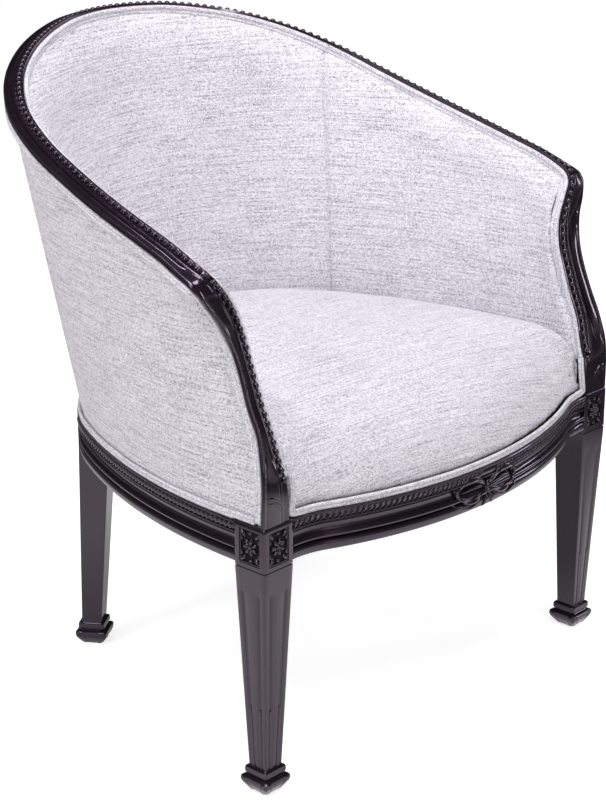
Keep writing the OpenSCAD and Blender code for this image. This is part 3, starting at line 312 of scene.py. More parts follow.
rear_w, rear_rake, rear_turn = 39.0, 13.0, math.radians(33)
rear_x, rear_corner = 0.5206 * width / 2, rear_w / math.sqrt(2)
corner_x = rear_x + rear_corner * math.cos(math.radians(12))
rear_y = back_cy + math.sqrt((back_r + 1.5) ** 2 - corner_x ** 2) - rear_corner * math.sin(math.radians(12))
rear_centre = np.array([rear_x, rear_y])
rear_ax = np.array([math.cos(rear_turn), -math.sin(rear_turn)])
rear_ay = np.array([math.sin(rear_turn), math.cos(rear_turn)])
rear_rings = []
for z, w in foot_rings + [(foot_h, leg_tip / 2), (rail_bottom, rear_w / 2), (rail_top - 0.4, rear_w / 2),
                          (rail_top, rear_w / 2 - 0.4)]:
    lean_share = clamp((rail_bottom - z) / (rail_bottom - foot_h))
    marks = foot_marks(w, foot_edge, z) if z < foot_h else plain_marks(w, block_edge)
    centre = rear_centre + lean_share * rear_rake * rear_ay
    rear_rings.append(square_ring(centre, -rear_turn, z, w, [marks] * 4))
lofted_pair("rear_leg_tapered", rear_rings, lacquer, "rear_leg", 30)

# Carving of the front legs. Each block has a flower of seven petals in its sunk panel, with a
# leaf in each corner, and the lower third of each flute is filled with a rounded cable.


def repeat_tree(name, pitch, size):
    # A row of carved units on a path: the path is resampled at the pitch, a unit stands on each
    # point along the tangent with its face to the stored "out" direction, and all become mesh
    tree = bpy.data.node_groups.new(name, "GeometryNodeTree")
    face = tree.interface
    face.new_socket("Path", in_out="INPUT", socket_type="NodeSocketGeometry")
    for label, value in (("Pitch", pitch), ("Size", size)):
        face.new_socket(label, in_out="INPUT", socket_type="NodeSocketFloat").default_value = value
    face.new_socket("Unit", in_out="INPUT", socket_type="NodeSocketObject")
    face.new_socket("Finish", in_out="INPUT", socket_type="NodeSocketMaterial")
    face.new_socket("Row", in_out="OUTPUT", socket_type="NodeSocketGeometry")
    given = tree.nodes.new("NodeGroupInput")
    curve = add(tree, "GeometryNodeMeshToCurve", (-600, 0), {"Mesh": given.outputs["Path"]})
    even = add(tree, "GeometryNodeResampleCurve", (-400, 0),
               {"Curve": curve.outputs[0], "Length": given.outputs["Pitch"]}, mode="LENGTH")
    out = add(tree, "GeometryNodeInputNamedAttribute", (-600, -300), data_type="FLOAT_VECTOR")
    out.inputs["Name"].default_value = "out"
    tangent = add(tree, "GeometryNodeInputTangent", (-600, -450))
    lie = add(tree, "FunctionNodeAlignRotationToVector", (-400, -400),
              {"Vector": tangent.outputs[0]}, axis="X")
    stand = add(tree, "FunctionNodeAlignRotationToVector", (-200, -300),
                {"Rotation": lie.outputs[0], "Vector": out.outputs[0]}, axis="Z", pivot_axis="X")
    unit_info = add(tree, "GeometryNodeObjectInfo", (-400, 250), {"Object": given.outputs["Unit"]})
    row = add(tree, "GeometryNodeInstanceOnPoints", (0, 0), {
        "Points": even.outputs[0], "Instance": unit_info.outputs["Geometry"],
        "Rotation": stand.outputs[0], "Scale": given.outputs["Size"]})
    real = add(tree, "GeometryNodeRealizeInstances", (200, 0), {"Geometry": row.outputs[0]})
    even_shade = add(tree, "GeometryNodeSetShadeSmooth", (400, 0), {"Geometry": real.outputs[0]})
    made = add(tree, "GeometryNodeSetMaterial", (600, 0),
               {"Geometry": even_shade.outputs[0], "Material": given.outputs["Finish"]})
    last = tree.nodes.new("NodeGroupOutput")
    tree.links.new(made.outputs[0], last.inputs[0])
    return tree


def unit_mesh(name, points, faces):
    return bpy.data.objects.new(name, outward_mesh(name, points, faces))


def ball(rx, ry, rz, across=10, up=6, tip=0.0):
    # An ellipsoid of few faces; tip pulls its ends along x to points
    points, faces = [], []
    for i in range(1, up):
        a = math.pi * i / up - math.pi / 2
        for j in range(across):
            b = 2 * math.pi * j / across
            x, y = math.cos(a) * math.cos(b), math.cos(a) * math.sin(b)
            points.append((rx * x, ry * y * (1 - tip * abs(x) ** 1.5), rz * math.sin(a)))
    n = across
    for i in range(up - 2):
        faces += [(i * n + j, i * n + (j + 1) % n, (i + 1) * n + (j + 1) % n, (i + 1) * n + j)
                  for j in range(n)]
    low, high = len(points), len(points) + 1
    points += [(0, 0, -rz), (0, 0, rz)]
    faces += [(low, (j + 1) % n, j) for j in range(n)]
    faces += [(high, (up - 2) * n + j, (up - 2) * n + (j + 1) % n) for j in range(n)]
    return np.array(points), faces


def row_of(name, tree, path, outs, unit_obj, pitch, size, material):
    # Runs a repeat tree over one or more open paths of points with their outward directions
    points, edges, first = [], [], 0
    for p in path:
        points += [tuple(q) for q in np.asarray(p, float) * mm]
        edges += [(first + i, first + i + 1) for i in range(len(p) - 1)]
        first += len(p)
    mesh = bpy.data.meshes.new(name + "_path")
    mesh.from_pydata(points, edges, [])
    attribute = mesh.attributes.new("out", "FLOAT_VECTOR", "POINT")
    attribute.data.foreach_set("vector", np.concatenate([np.asarray(o, float) for o in outs]).ravel())
    holder = bpy.data.objects.new(name + "_path", mesh)
    bpy.context.collection.objects.link(holder)
    modifier = holder.modifiers.new("row", "NODES")
    modifier.node_group = tree
    names = {s.name: s.identifier for s in tree.interface.items_tree if s.in_out == "INPUT"}
    modifier[names["Pitch"]] = pitch * mm
    modifier[names["Size"]] = size
    modifier[names["Unit"]] = unit_obj
    modifier[names["Finish"]] = material
    bpy.context.view_layer.update()
    made = bpy.data.meshes.new_from_object(holder.evaluated_get(bpy.context.evaluated_depsgraph_get()))
    made.name = name
    holder.modifiers.clear()
    bpy.data.objects.remove(holder)
    obj = bpy.data.objects.new(name, made)
    bpy.context.collection.objects.link(obj)
    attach(obj, "root")
    return obj


row_tree = repeat_tree("carved_row", 0.0115, 1.0)
petal_count, petal_ring_r, petal_rise, leaf_rise = 7, 6.6, 0.8, 0.6
petal = unit_mesh("petal", *ball(2.5, 4.3, 2.2, across=10, up=6, tip=0.3))


def on_block(side, face, a, b, out):
    # A point of a block's face: a across, b up from the panel's middle, out from the sunk floor
    floor = block_w / 2 - panel_deep
    if face == "front":
        return (side * (block_x + a), block_y + block_w / 2 - floor - out, panel_z + b)
    return (side * (block_x + floor + out), block_y + block_w / 2 + a, panel_z + b)


def facing(side, face):
    return (0, -1, 0) if face == "front" else (side, 0, 0)


flower_paths, flower_outs = [], []
for side in (1, -1):
    for face in ("front", "side"):
        ring = [on_block(side, face, petal_ring_r * math.cos(a), petal_ring_r * math.sin(a), petal_rise)
                for a in np.linspace(0, 2 * math.pi, 49)]
        flower_paths.append(ring)
        flower_outs.append([facing(side, face)] * len(ring))
petal_pitch = 2 * math.pi * petal_ring_r / petal_count * 0.995
row_of("rosette_petals", row_tree, flower_paths, flower_outs, petal, petal_pitch, 1.0, lacquer)

boss_points, boss_faces = ball(3.0, 3.0, 2.9, across=14, up=8)
leaf_points, leaf_faces = ball(5.6, 2.8, 2.1, across=10, up=6, tip=0.6)
carved, carved_faces = [], []


def carve(points, faces, place, turn, side, face):
    start = len(carved)
    c, s = math.cos(turn), math.sin(turn)
    for p in points:
        a, b = p[0] * c - p[1] * s, p[0] * s + p[1] * c
        carved.append(on_block(side, face, place[0] + a, place[1] + b, leaf_rise + p[2]))
    carved_faces.extend([tuple(start + v for v in f) for f in faces])


for side in (1, -1):
    for face in ("front", "side"):
        carve(boss_points, boss_faces, (0, 0), 0, side, face)
        for sx in (1, -1):
            for sy in (1, -1):
                turn = math.atan2(sy * 1.2, sx)
                carve(leaf_points, leaf_faces, (sx * 10.6, sy * 14.6), turn, side, face)
                carve(leaf_points * np.array([0.6, 0.7, 0.8]), leaf_faces, (sx * 12.6, sy * 8.6),
                      math.pi / 2, side, face)
            carve(leaf_points * np.array([0.6, 0.8, 0.8]), leaf_faces, (0, sx * 16.2), 0, side, face)
piece_from("rosette_leaves", carved, carved_faces, lacquer, sharp=0)


cable_h, cable_r, cable_sink = 74.0, 1.9, 0.9
cable_rings = [(z, cable_r) for z in np.linspace(foot_h - 0.2, foot_h + cable_h, 9)]
cable_rings += [(foot_h + cable_h + 1.4, 1.4), (foot_h + cable_h + 2.2, 0.4)]
cables, cable_faces = [], []
for side in (1, -1):
    for face in ("front", "side"):
        for s in (-1, 1):
            first = len(cables)
            for z, r in cable_rings:
                full = min(z, foot_h + cable_h)
                a, sink = s * flute_place(full), face_half(full) - cable_sink
                for j in range(12):
                    t = 2 * math.pi * j / 12
                    across, out = a + r * math.cos(t), sink + r * math.sin(t) * 0.75
                    if face == "front":
                        cables.append((side * (block_x + across), block_y + block_w / 2 - out, z))
                    else:
                        cables.append((side * (block_x + out), block_y + block_w / 2 + across, z))
            cable_faces += loft_faces(len(cable_rings), 12, first)
piece_from("flute_cables", cables, cable_faces, lacquer, sharp=50)

# Seat rails. Each is one moulded length of black lacquered beech: a carved ribbon band on top, a
# hollow, a reed between two grooves and a rounded lower band. The front one is serpentine.
rail_t, rail_end, bow_share = 24.0, 4.0, 0.84
side_r = (plan_a ** 2 + plan_b ** 2 - 2 * plan_b * back_r) / (2 * (plan_a - back_r))
side_cx, side_arc = plan_a - side_r, math.atan2(plan_b - back_r, side_r - plan_a)
side_len, back_len = side_r * side_arc, back_r * (math.pi / 2 - side_arc)
block_inner = width / 2 - block_w
bow_half = block_inner - rail_end
bow_angle = 2 * math.atan(rail_bow / bow_half)
bow_r = bow_share * bow_half / math.sin(bow_angle)
cove_r = (1 - bow_share) * bow_half / math.sin(bow_angle)
bow_cy = block_y - rail_bow + bow_r


def arc(centre, radius, start, end, count):
    return [(centre[0] + radius * math.cos(math.radians(a)), centre[1] + radius * math.sin(math.radians(a)))
            for a in np.linspace(start, end, count)]


reed_r = 3.0
rail_section = np.array(
    [(-rail_t, 0), (-rail_t + 1, 0), (-0.2 * rail_t, 0)]
    + [(-0.17 * rail_t + 4.0 * math.sin(a) * 1.05, 7.0 - 7.0 * math.cos(a))
       for a in np.linspace(0.2, 1.57, 8)]
    + [(0.3, 8.6), (0.1, 10.2), (-0.5, 11.6), (-1.6, 12.8), (-2.8, 13.5), (-4.2, 13.9), (-5.0, 14.3),
       (-5.1, 15.2), (-4.9, 15.7)]
    + arc((-0.1 * rail_t, 0.384 * rail_h), reed_r, -62, 66, 11)
    + [(-2.9, 22.3), (-3.6, 23.3), (-4.3, 24.9), (-4.65, 26.8), (-4.5, 28.7), (-4.1, 30.6), (-3.3, 32.5),
       (-2.2, 34.2), (-1.0, 35.6), (0.1, 36.5), (0.8, 36.75), (1.0, 37.2), (0.9, 37.7), (-0.3, 38.0),
       (-0.6, 38.4), (-0.4, 39.0), (0.2, 40.4), (0.4, 42.4), (0.3, 44.6), (-0.1, 46.2), (-0.2, 46.6),
       (0.6, 46.9), (0.7, 47.6), (0.2, 48.2), (-0.9, rail_h), (-rail_t, rail_h)])


def rail_ring(point, normal):
    return [(point[0] + a * normal[0], point[1] + a * normal[1], rail_bottom + b) for a, b in rail_section]


def plan_normal(d):
    if d <= 0:
        return np.array([1.0, 0.0])
    a = d / side_r if d < side_len else side_arc + (d - side_len) / back_r
    return np.array([math.cos(a), math.sin(a)])


def plan_point(d, inset):
    n = plan_normal(d)
    if d <= 0:
        return np.array([plan_a - inset, plan_y + d])
    if d < side_len:
        return np.array([side_cx, plan_y]) + (side_r - inset) * n
    return np.array([0, back_cy]) + (back_r - inset) * n


def front_line(inset):
    # Face of the serpentine rail from the middle to the right: places and normals
    rows = []
    for i in range(29):
        a = -math.pi / 2 + i / 28 * bow_angle
        n = np.array([math.cos(a), math.sin(a)])
        rows.append((np.array([0, bow_cy]) + (bow_r - inset) * n, n))
    for i in range(27, -1, -1):
        a = math.pi / 2 + i / 28 * bow_angle
        n = np.array([math.cos(a), math.sin(a)])
        rows.append((np.array([bow_half, block_y - cove_r]) + (cove_r + inset) * n, -n))
    rows.append((np.array([block_inner, block_y + inset]), np.array([0.0, -1.0])))
    return rows


front_half = front_line(0)
front_rings = [flipped(rail_ring(p, n)) for p, n in front_half[:0:-1]]
front_rings += [rail_ring(p, n) for p, n in front_half]
lofted("front_rail_moulding", front_rings, lacquer, ("front_rail",), sharp=30)


def rear_face(r, x=rear_w / 2):
    # Where an arc of radius r round the back meets the rear leg's face, x along it
    c = rear_centre - np.array([0, back_cy]) + x * rear_ax
    k = float(c @ rear_ay)
    return rear_centre + x * rear_ax + (math.sqrt(k * k - float(c @ c) + r * r) - k) * rear_ay


side_rings = [rail_ring(plan_point(d, 0), plan_normal(d)) for d in np.linspace(0.001, side_len, 40)]
side_rings += [rail_ring(plan_point(side_len + back_r * math.radians(a), 0),
                         plan_normal(side_len + back_r * math.radians(a))) for a in np.linspace(1, 12, 8)]
last_ring = []
for a, b in rail_section:
    q = rear_face(back_r + a)
    last_ring.append((q[0], q[1], rail_bottom + b))
side_rings.append(last_ring)
lofted_pair("side_rail_moulding", side_rings, lacquer, "side_rail", 30)


def dress(node, material):
    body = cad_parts[node]
    body.data.materials.clear()
    body.data.materials.append(material)


dress("back_rail", lacquer)

# The ribbon band along the top of all four rails, carved in the solid: slanted leaves that lap
# over each other like a twisted ribbon, 8 mm high
strand_points, strand_faces = ball(6.4, 2.5, 1.9, across=10, up=6, tip=0.55)
slant = math.radians(34)
strand_points = np.array([(p[0] * math.cos(slant) - p[1] * math.sin(slant),
                           p[0] * math.sin(slant) + p[1] * math.cos(slant), p[2]) for p in strand_points])
strand_points[:, 1] += 1.2 * np.sin(strand_points[:, 0] / 6.4 * 1.6)
strand = unit_mesh("ribbon_leaf", strand_points, strand_faces)
band_mid = rail_bottom + 42.4
band_lines, band_outs = [], []
line = [(p[0] + 0.3 * n[0], p[1] + 0.3 * n[1], band_mid) for p, n in front_half[2:-1]]
for sign in (1, -1):
    band_lines.append(flipped(line) if sign < 0 else line)
    band_outs.append([(sign * n[0], n[1], 0) for p, n in front_half[2:-1]])
side_ds = np.linspace(3, side_len + back_r * math.radians(11), 60)
line = [tuple(plan_point(d, -0.3)) + (band_mid,) for d in side_ds]
for sign in (1, -1):
    band_lines.append(flipped(line) if sign < 0 else line)
    band_outs.append([(sign * plan_normal(d)[0], plan_normal(d)[1], 0) for d in side_ds])
back_end = rear_face(back_r, -rear_w / 2) - np.array([0, back_cy])
leg_end = math.atan2(back_end[1], back_end[0]) + 0.012
angles = np.linspace(leg_end, math.pi - leg_end, 40)
band_r = back_r + 0.3
band_lines.append([(band_r * math.cos(a), back_cy + band_r * math.sin(a), band_mid) for a in angles])
band_outs.append([(math.cos(a), math.sin(a), 0) for a in angles])
row_of("carved_ribbon_band", row_tree, band_lines, band_outs, strand, 7.2, 0.92, lacquer)

# A ribbon tied in a bow, carved in the solid on the middle of the front rail, over its hollow
# and reed: two loops, two tails, a fold through each loop and a round knot
skin = rail_section[3:-2]


def unit(v):
    v = np.asarray(v, float)
    return v / np.linalg.norm(v)


def on_front(s, h, out):
    # s along the bow from the middle, h over the rail's lower edge, out from its face
    a = -math.pi / 2 + s / bow_r
    face = max(float(np.interp(h, skin[:, 1], skin[:, 0])), -2.2)
    reach = bow_r + face + out
    return (reach * math.cos(a), bow_cy + reach * math.sin(a), rail_bottom + h)


def spline(a, b, c, d, u):
    # The smooth run from b to c, with a before and d after them
    return (2 * b + (c - a) * u + (2 * a - 5 * b + 4 * c - d) * u * u
            + (3 * b - a - 3 * c + d) * u ** 3) / 2


def through(points, per):
    rows = [np.asarray(p, float) for p in points]
    rows = [2 * rows[0] - rows[1]] + rows + [2 * rows[-1] - rows[-2]]
    out = []
    for i in range(1, len(rows) - 2):
        out += [spline(*rows[i - 1:i + 3], u) for u in np.arange(per) / per]
    return np.array(out + [rows[-2]])


bow_strips = [  # path along and up the rail, half width, relief and lift of each strip
    ([(3, 26), (13, 33), (26, 38), (40, 37.5), (50, 32)], 4.6, 2.6, 0.4),
    ([(49, 34), (54.5, 28), (50, 20)], 2.6, 2.0, 1.0),
    ([(51, 21.5), (39, 15), (25, 13), (12, 17.5), (3, 23)], 4.2, 2.6, 0.4),
    ([(5, 24.5), (17, 26.5), (31, 27), (45, 26)], 2.2, 1.4, 0.2),
    ([(2, 20), (4, 12), (7, 5), (9.5, 0.8)], 3.0, 1.9, 0.2),
    ([(7, 19), (18, 9.5), (33, 5), (48, 9), (61, 16)], 2.3, 1.6, 0.0)]
bow_points, bow_faces = [], []
for side in (1, -1):
    for path, wide, high, lift in bow_strips:
        first, line = len(bow_points), through(path, 6)
        for i, (s, h) in enumerate(line):
            run = unit(line[min(i + 1, len(line) - 1)] - line[max(i - 1, 0)])
            share = max(0.16, math.sin(math.pi * (0.05 + 0.9 * i / (len(line) - 1)))) ** 0.5
            for j in range(10):
                a = 2 * math.pi * j / 10
                across = wide * share * math.cos(a)
                bow_points.append(on_front(side * (s - across * run[1]), h + across * run[0],
                                           lift + high * share * math.sin(a)))
        bow_faces += loft_faces(len(line), 10, first)
knot, knot_faces = ball(6.2, 7.6, 4.4, across=16, up=10)
knot_height, knot_rise = 24.5, 1.0
first = len(bow_points)
bow_points += [on_front(p[0], knot_height + p[1], knot_rise + p[2]) for p in knot]
bow_faces += [tuple(first + v for v in f) for f in knot_faces]
piece_from("ribbon_bow", bow_points, bow_faces, lacquer, sharp=0)

# Show-wood of posts, arms and crest. One moulded rail rises from each front block, swells out
# over the knuckle, runs back along the arm and meets its fellow in the crest. It carries a row
# of pearls along the cloth, a reed, a hollow, an outer reed and a thick rounded edge.
pearl_r, rail_lip, rail_body, arm_face, reed, arm_hollow, arm_edge = 3.8, 4.7, 23.0, 18.0, 2.0, 2.6, 4.4
height, arm_span, welt_r, cover_t = 791.0, 323.0, 2.2, 2.5
# The clear space left between neighbouring pieces
gap = 0.3
inset_under = 2 * welt_r + 1.6
rebate = inset_under + cover_t + 14 * gap
# Rows of the pearl line from a post's foot over the knuckle to the middle of the crest: shares of
# the arm's span, the depth and the height, and the ridge's place beside and above, over arm_face
guide_shares = [
    (0.147, 0.003, 0.000, 2.05, 0.03), (0.165, 0.006, 0.083, 1.95, 0.15),
    (0.189, 0.020, 0.139, 1.82, 0.47), (0.244, 0.037, 0.210, 1.45, 0.53),
    (0.262, 0.059, 0.275, 1.38, 0.45), (0.269, 0.081, 0.350, 1.30, 0.43),
    (0.293, 0.096, 0.410, 1.38, 0.40), (0.409, 0.105, 0.470, 1.55, 0.22),
    (0.622, 0.108, 0.521, 1.70, 0.00), (0.841, 0.114, 0.562, 1.55, -0.22),
    (0.963, 0.132, 0.589, 1.25, -0.38), (1.000, 0.166, 0.609, 1.07, -0.43),
    (0.996, 0.215, 0.633, 1.00, -0.43), (0.987, 0.279, 0.657, 1.00, -0.43),
    (0.972, 0.387, 0.697, 1.00, -0.43), (0.947, 0.497, 0.740, 1.00, -0.43),
    (0.912, 0.612, 0.789, 1.00, -0.43), (0.859, 0.710, 0.840, 1.00, -0.40),
    (0.786, 0.779, 0.881, 1.00, -0.38), (0.690, 0.839, 0.918, 1.00, -0.35),
    (0.564, 0.891, 0.951, 1.00, -0.30), (0.425, 0.934, 0.975, 1.00, -0.28),
    (0.275, 0.969, 0.992, 1.00, -0.28), (0.140, 0.992, 0.998, 1.00, -0.28),
    (0.000, 1.000, 1.000, 1.00, -0.28)]
crest_depth = depth / 2 - block_y - arm_face * guide_shares[-1][3]
pearl_rise = height - pearl_r - block_top
guide_rows = np.array([[block_inner + a * (arm_span - block_inner) if i < 12 else a * arm_span,
                        block_y + b * crest_depth, block_top + c * pearl_rise, d * arm_face, e * arm_face]
                       for i, (a, b, c, d, e) in enumerate(guide_shares)])
last = len(guide_rows) - 1


def guide_row(i):
    if i < 0:
        return 2 * guide_rows[0] - guide_rows[-i]
    return guide_rows[2 * last - i] * np.array([-1, 1, 1, 1, 1]) if i > last else guide_rows[i]


def guide(t):
    i = min(int(math.floor(t)), last - 1)
    return spline(guide_row(i - 1), guide_row(i), guide_row(i + 1), guide_row(i + 2), t - i)


def guide_frame(t):
    # Place on the pearl line with the outward and upward directions beside it
    if t <= 0:
        run = np.array([0.0, 0.0, 1.0])
    elif t >= last:
        run = np.array([-1.0, 0.0, 0.0])
    else:
        run = unit(guide(t + 0.02)[:3] - guide(t - 0.02)[:3])
    w = smooth((t - 9.3) / 1.6)
    out = sideways = np.array([1.0, 0, 0])
    if w > 0:
        out = unit((1 - w) * sideways + w * unit((run[1], -run[0], 0)))
    return guide(t)[:3], out, unit(np.cross(out, run))


def at_guide(t, a, b):
    p, out, up = guide_frame(t)
    return p + a * out + b * up


def half_round(start, end, rise, count, base=0.0):
    return [(blend(start, end, (1 - math.cos(a)) / 2), base + rise * math.sin(a))
            for a in np.linspace(0.35, math.pi - 0.35, count)]


def lookup(x, table):
    return float(np.interp(x, [r[0] for r in table], [r[1] for r in table]))


def wood_ring(t):
    # Section of the show-wood: pearl bed, reed, hollow, outer reed, edge and rebate for the cover
    g = guide(t)
    wide = math.hypot(g[3], g[4])
    f = np.array([g[3], g[4]]) / wide
    h = np.array([-f[1], f[0]])
    k = lookup(t, [(1.3, 0), (2.3, 1), (7, 1), (8.6, 0), (9.8, 0), (11.2, 1)])
    q = lookup(t, [(1.2, 0), (1.9, 1)])
    e = lookup(t, [(0, 0), (2, 1)])
    c = pearl_r * 1.3 + reed
    flat_w = wide - 3 * reed - c
    face = [(-rail_lip * 0.98, -0.6), (-pearl_r, -0.3 * q), (-pearl_r * 0.6, -1.1 * q), (0, -1.4 * q),
            (pearl_r * 0.6, -1.2 * q), (pearl_r * 1.05, -0.5 * q)]
    face += half_round(c - reed, c + reed, 1.75 * k + 0.35 * (1 - k), 7, -0.25 * k)
    sag = arm_hollow * k - 1.1 * (1 - k)
    face += [(c + reed + s * flat_w, -sag * math.sin(math.pi * (0.1 + 0.8 * s)) ** 0.7)
             for s in (0.06, 0.18, 0.34, 0.5, 0.66, 0.82, 0.94)]
    face += half_round(wide - 2 * reed, wide - 0.1, 1.6 * k + 0.3, 7, -0.2 * k)
    ring = [(-rail_lip, -rail_body), (-rail_lip, -rail_body * 0.5), (-rail_lip, -rail_lip / 2)]
    ring += [tuple(p[0] * f + p[1] * h) for p in face]
    low = np.array([g[3] - 0.12 * arm_edge * e, g[4] - arm_edge])
    corner = wide * f
    ring += [tuple(corner + np.array([0.3, -0.9]) * e),
             tuple(blend(corner, low, 0.55) + np.array([0.5, 0]) * e),
             tuple(low), (low[0] - 0.8, low[1] - gap), (g[3] - rebate, low[1] - gap),
             (g[3] - rebate, -rail_body)]
    p, out, up = guide_frame(t)
    return [p + a * out + b * up for a, b in ring]


def stations(start, end, step):
    return list(np.linspace(start, end, int(round((end - start) / step)) + 1))


post_rings = [wood_ring(t) for t in stations(0, 10, 0.125)]
arm_rings = [wood_ring(t) for t in stations(10, 17, 0.125)]
crest_half = [wood_ring(t) for t in stations(17, 24, 0.125)]
crest_rings = crest_half + [flipped(r) for r in crest_half[-2::-1]]
lofted_pair("post_moulding", post_rings, lacquer, "arm_post", 38)
lofted_pair("arm_moulding", arm_rings, lacquer, "arm_rail", 38)
lofted("crest_moulding", crest_rings, lacquer, ("crest_rail",), sharp=38)

# Pearls: a row of round beads of about 7.6 mm, carved in the solid along the cloth. They stand
# every 10.6 mm, from the leaf on one post round the crest to the other
pearl_pitch = 10.6
pearl = unit_mesh("pearl", *ball(3.9, 3.6, 3.7, across=12, up=8))


def pearl_line(ts):
    rows = []
    for t in ts:
        g = guide(t)
        f = np.array([g[3], g[4]]) / math.hypot(g[3], g[4])
        p, out, up = guide_frame(t)
        rise = -f[1] * out + f[0] * up
        rows.append((p + lookup(t, [(8.5, 0.4), (11.5, -0.9)]) * rise, rise))
    return rows


half_pearls = pearl_line(stations(1.3, 24, 0.1))
whole_pearls = half_pearls + [(flipped(p), flipped(n)) for p, n in half_pearls[-2::-1]]
row_of("pearl_moulding", row_tree, [[p for p, n in whole_pearls]], [[n for p, n in whole_pearls]],
       pearl, pearl_pitch, 1.0, lacquer)

# Crescent leaf cut across the foot of each post, where the moulding starts from the plain wood:
# a thick lip that climbs inwards, and a thinner one below it
lip_low, lip_climb, lip_arch, lip_lift, steps = 348.0, 14.0, 4.0, 1.1, 13
lips, lip_faces = [], []
for side in (1, -1):
    for rise, reach, thick in ((0.0, 1.0, 2.6), (-6.0, 0.95, 1.5)):
        first = len(lips)
        for i in range(steps):
            s = i / (steps - 1)
            across = blend(0.2, 0.86, s * reach + (1 - reach) * 0.5)
            z = lip_low + rise + lip_climb * s + lip_arch * math.sin(math.pi * s)
            t = float(np.interp(z, guide_rows[:5, 2], range(5)))
            g = guide(t)
            p, out, up = guide_frame(t)
            normal = unit(-g[4] * out + g[3] * up)
            base = p + across * (g[3] * out + g[4] * up) + lip_lift * normal
            size = thick * max(0.12, math.sin(math.pi * (0.04 + 0.92 * s)))
            for j in range(8):
                a = 2 * math.pi * j / 8
                q = base + size * math.cos(a) * 0.8 * normal + size * math.sin(a) * np.array([0, 0, 1.0])
                lips.append(q if side > 0 else flipped(q))
        lip_faces += loft_faces(steps, 8, first)
piece_from("post_leaf_lips", lips, lip_faces, lacquer, sharp=0)

# Hidden frame: uprights and tack rails of planed beech in the tub wall, which the lining and the
# covers are tacked to, corner blocks glued and screwed into the corners of the seat frame, and
# dowels in the joints of the rear legs and the posts


def fibre_material(name, low, high, scale):
    # A dry, matt stuff of two tones; scale is the number of its grains or fibres to the metre
    material, tree, shader = new_material(name)
    place = add(tree, "ShaderNodeTexCoord", (-900, 0)).outputs["Object"]
    fibres = add(tree, "ShaderNodeTexNoise", (-600, 0),
                 {"Vector": place, "Scale": scale, "Detail": 5.0, "Roughness": 0.7})
    colour = add(tree, "ShaderNodeMix", (-200, 100), {
        0: fibres.outputs["Fac"], 6: hex_colour(low), 7: hex_colour(high)}, data_type="RGBA")
    tree.links.new(colour.outputs[2], shader.inputs["Base Color"])
    bump = add(tree, "ShaderNodeBump", (100, -200),
               {"Height": fibres.outputs["Fac"], "Strength": 0.6, "Distance": 0.001})
    tree.links.new(bump.outputs[0], shader.inputs["Normal"])
    shader.inputs["Roughness"].default_value = 0.95
    return material


# Planed beech, unfinished: pale pinkish brown with short flecks
raw_beech = fibre_material("planed_beech", "#b58f62", "#d3b184", 160)
# Zinc-plated steel screws: bright grey with a faint bluish tone
zinc, zinc_tree, zinc_shader = new_material("zinc_plated_steel")
zinc_wear = add(zinc_tree, "ShaderNodeTexNoise", (-400, 0), {"Scale": 400.0})
zinc_mix = add(zinc_tree, "ShaderNodeMix", (0, 0), {
    0: zinc_wear.outputs["Fac"], 6: hex_colour("#a9adb3"), 7: hex_colour("#c6c9cc")}, data_type="RGBA")
zinc_tree.links.new(zinc_mix.outputs[2], zinc_shader.inputs["Base Color"])
zinc_shader.inputs["Metallic"].default_value = 1.0
zinc_shader.inputs["Roughness"].default_value = 0.35
for node in ("back_uprights", "arm_uprights", "tack_rail_back", "tack_rail_left", "tack_rail_right",
             "corner_blocks", "rail_dowels", "post_dowels"):
    dress(node, raw_beech)
dress("corner_screws", zinc)

# Webbing: herringbone jute straps 50 mm wide, strained over the open frame and tacked to the
# rails, with the cross straps laid over the long ones
strap_w, strap_t, tack_inset = 50.0, 1.4, 13.0
# Woven jute, dry and rough: brown threads with paler fibre ends
jute = fibre_material("woven_jute", "#7d6a48", "#b9a276", 500)


def front_plan(x, inset):
    # Place across the serpentine front at x from the middle, inset from the rail's face
    m = (bow_r - inset) * math.sin(bow_angle)
    if x < m:
        return bow_cy - math.sqrt((bow_r - inset) ** 2 - x * x)
    if x < bow_half:
        return block_y - cove_r + math.sqrt((cove_r + inset) ** 2 - (bow_half - x) ** 2)
    return block_y + inset


def strap(start, end, z_low, lifts, first):
    points = []
    run = np.array(end) - np.array(start)
    length = float(np.linalg.norm(run))
    side = np.array([-run[1], run[0]]) / length * strap_w / 2
    steps = 40
    for i in range(steps + 1):
        s = i / steps
        p = np.array(start) + run * s
        sag = lifts(s * length - length / 2)
        for w, z in ((-1, 0), (-0.94, -0.1), (0.94, -0.1), (1, 0), (1, strap_t), (0.94, strap_t + 0.05),
                     (-0.94, strap_t + 0.05), (-1, strap_t)):
            points.append((p[0] + w * side[0], p[1] + w * side[1], z_low + max(z, 0) + sag))
    return points, loft_faces(steps + 1, 8, first)


def strap_set(name, runs, z_low, lifts, replaced):
    points, faces = [], []
    for start, end in runs:
        more, more_faces = strap(start, end, z_low, lifts, len(points))
        points += more
        faces += more_faces
    obj = piece_from(name, points, faces, jute, replaced, sharp=30)


def back_plan(x, inset):
    return back_cy + math.sqrt((back_r - inset) ** 2 - x * x)


def side_plan(y, inset):
    if y < plan_y + side_r * math.sin(side_arc):
        return side_cx + math.sqrt((side_r - inset) ** 2 - (y - plan_y) ** 2)
    return math.sqrt((back_r - inset) ** 2 - (y - back_cy) ** 2)


long_xs = [s * block_inner for s in (-0.5, -0.167, 0.167, 0.5)]
half_strap = strap_w / 2
long_runs = [((x, front_plan(abs(x) + half_strap, tack_inset)),
              (x, back_plan(abs(x) + half_strap, tack_inset))) for x in long_xs]
strap_set("long_straps", long_runs, rail_top, lambda d: 0.0, ("seat_webbing_long",))
reach = long_xs[3] + half_strap + 4.5


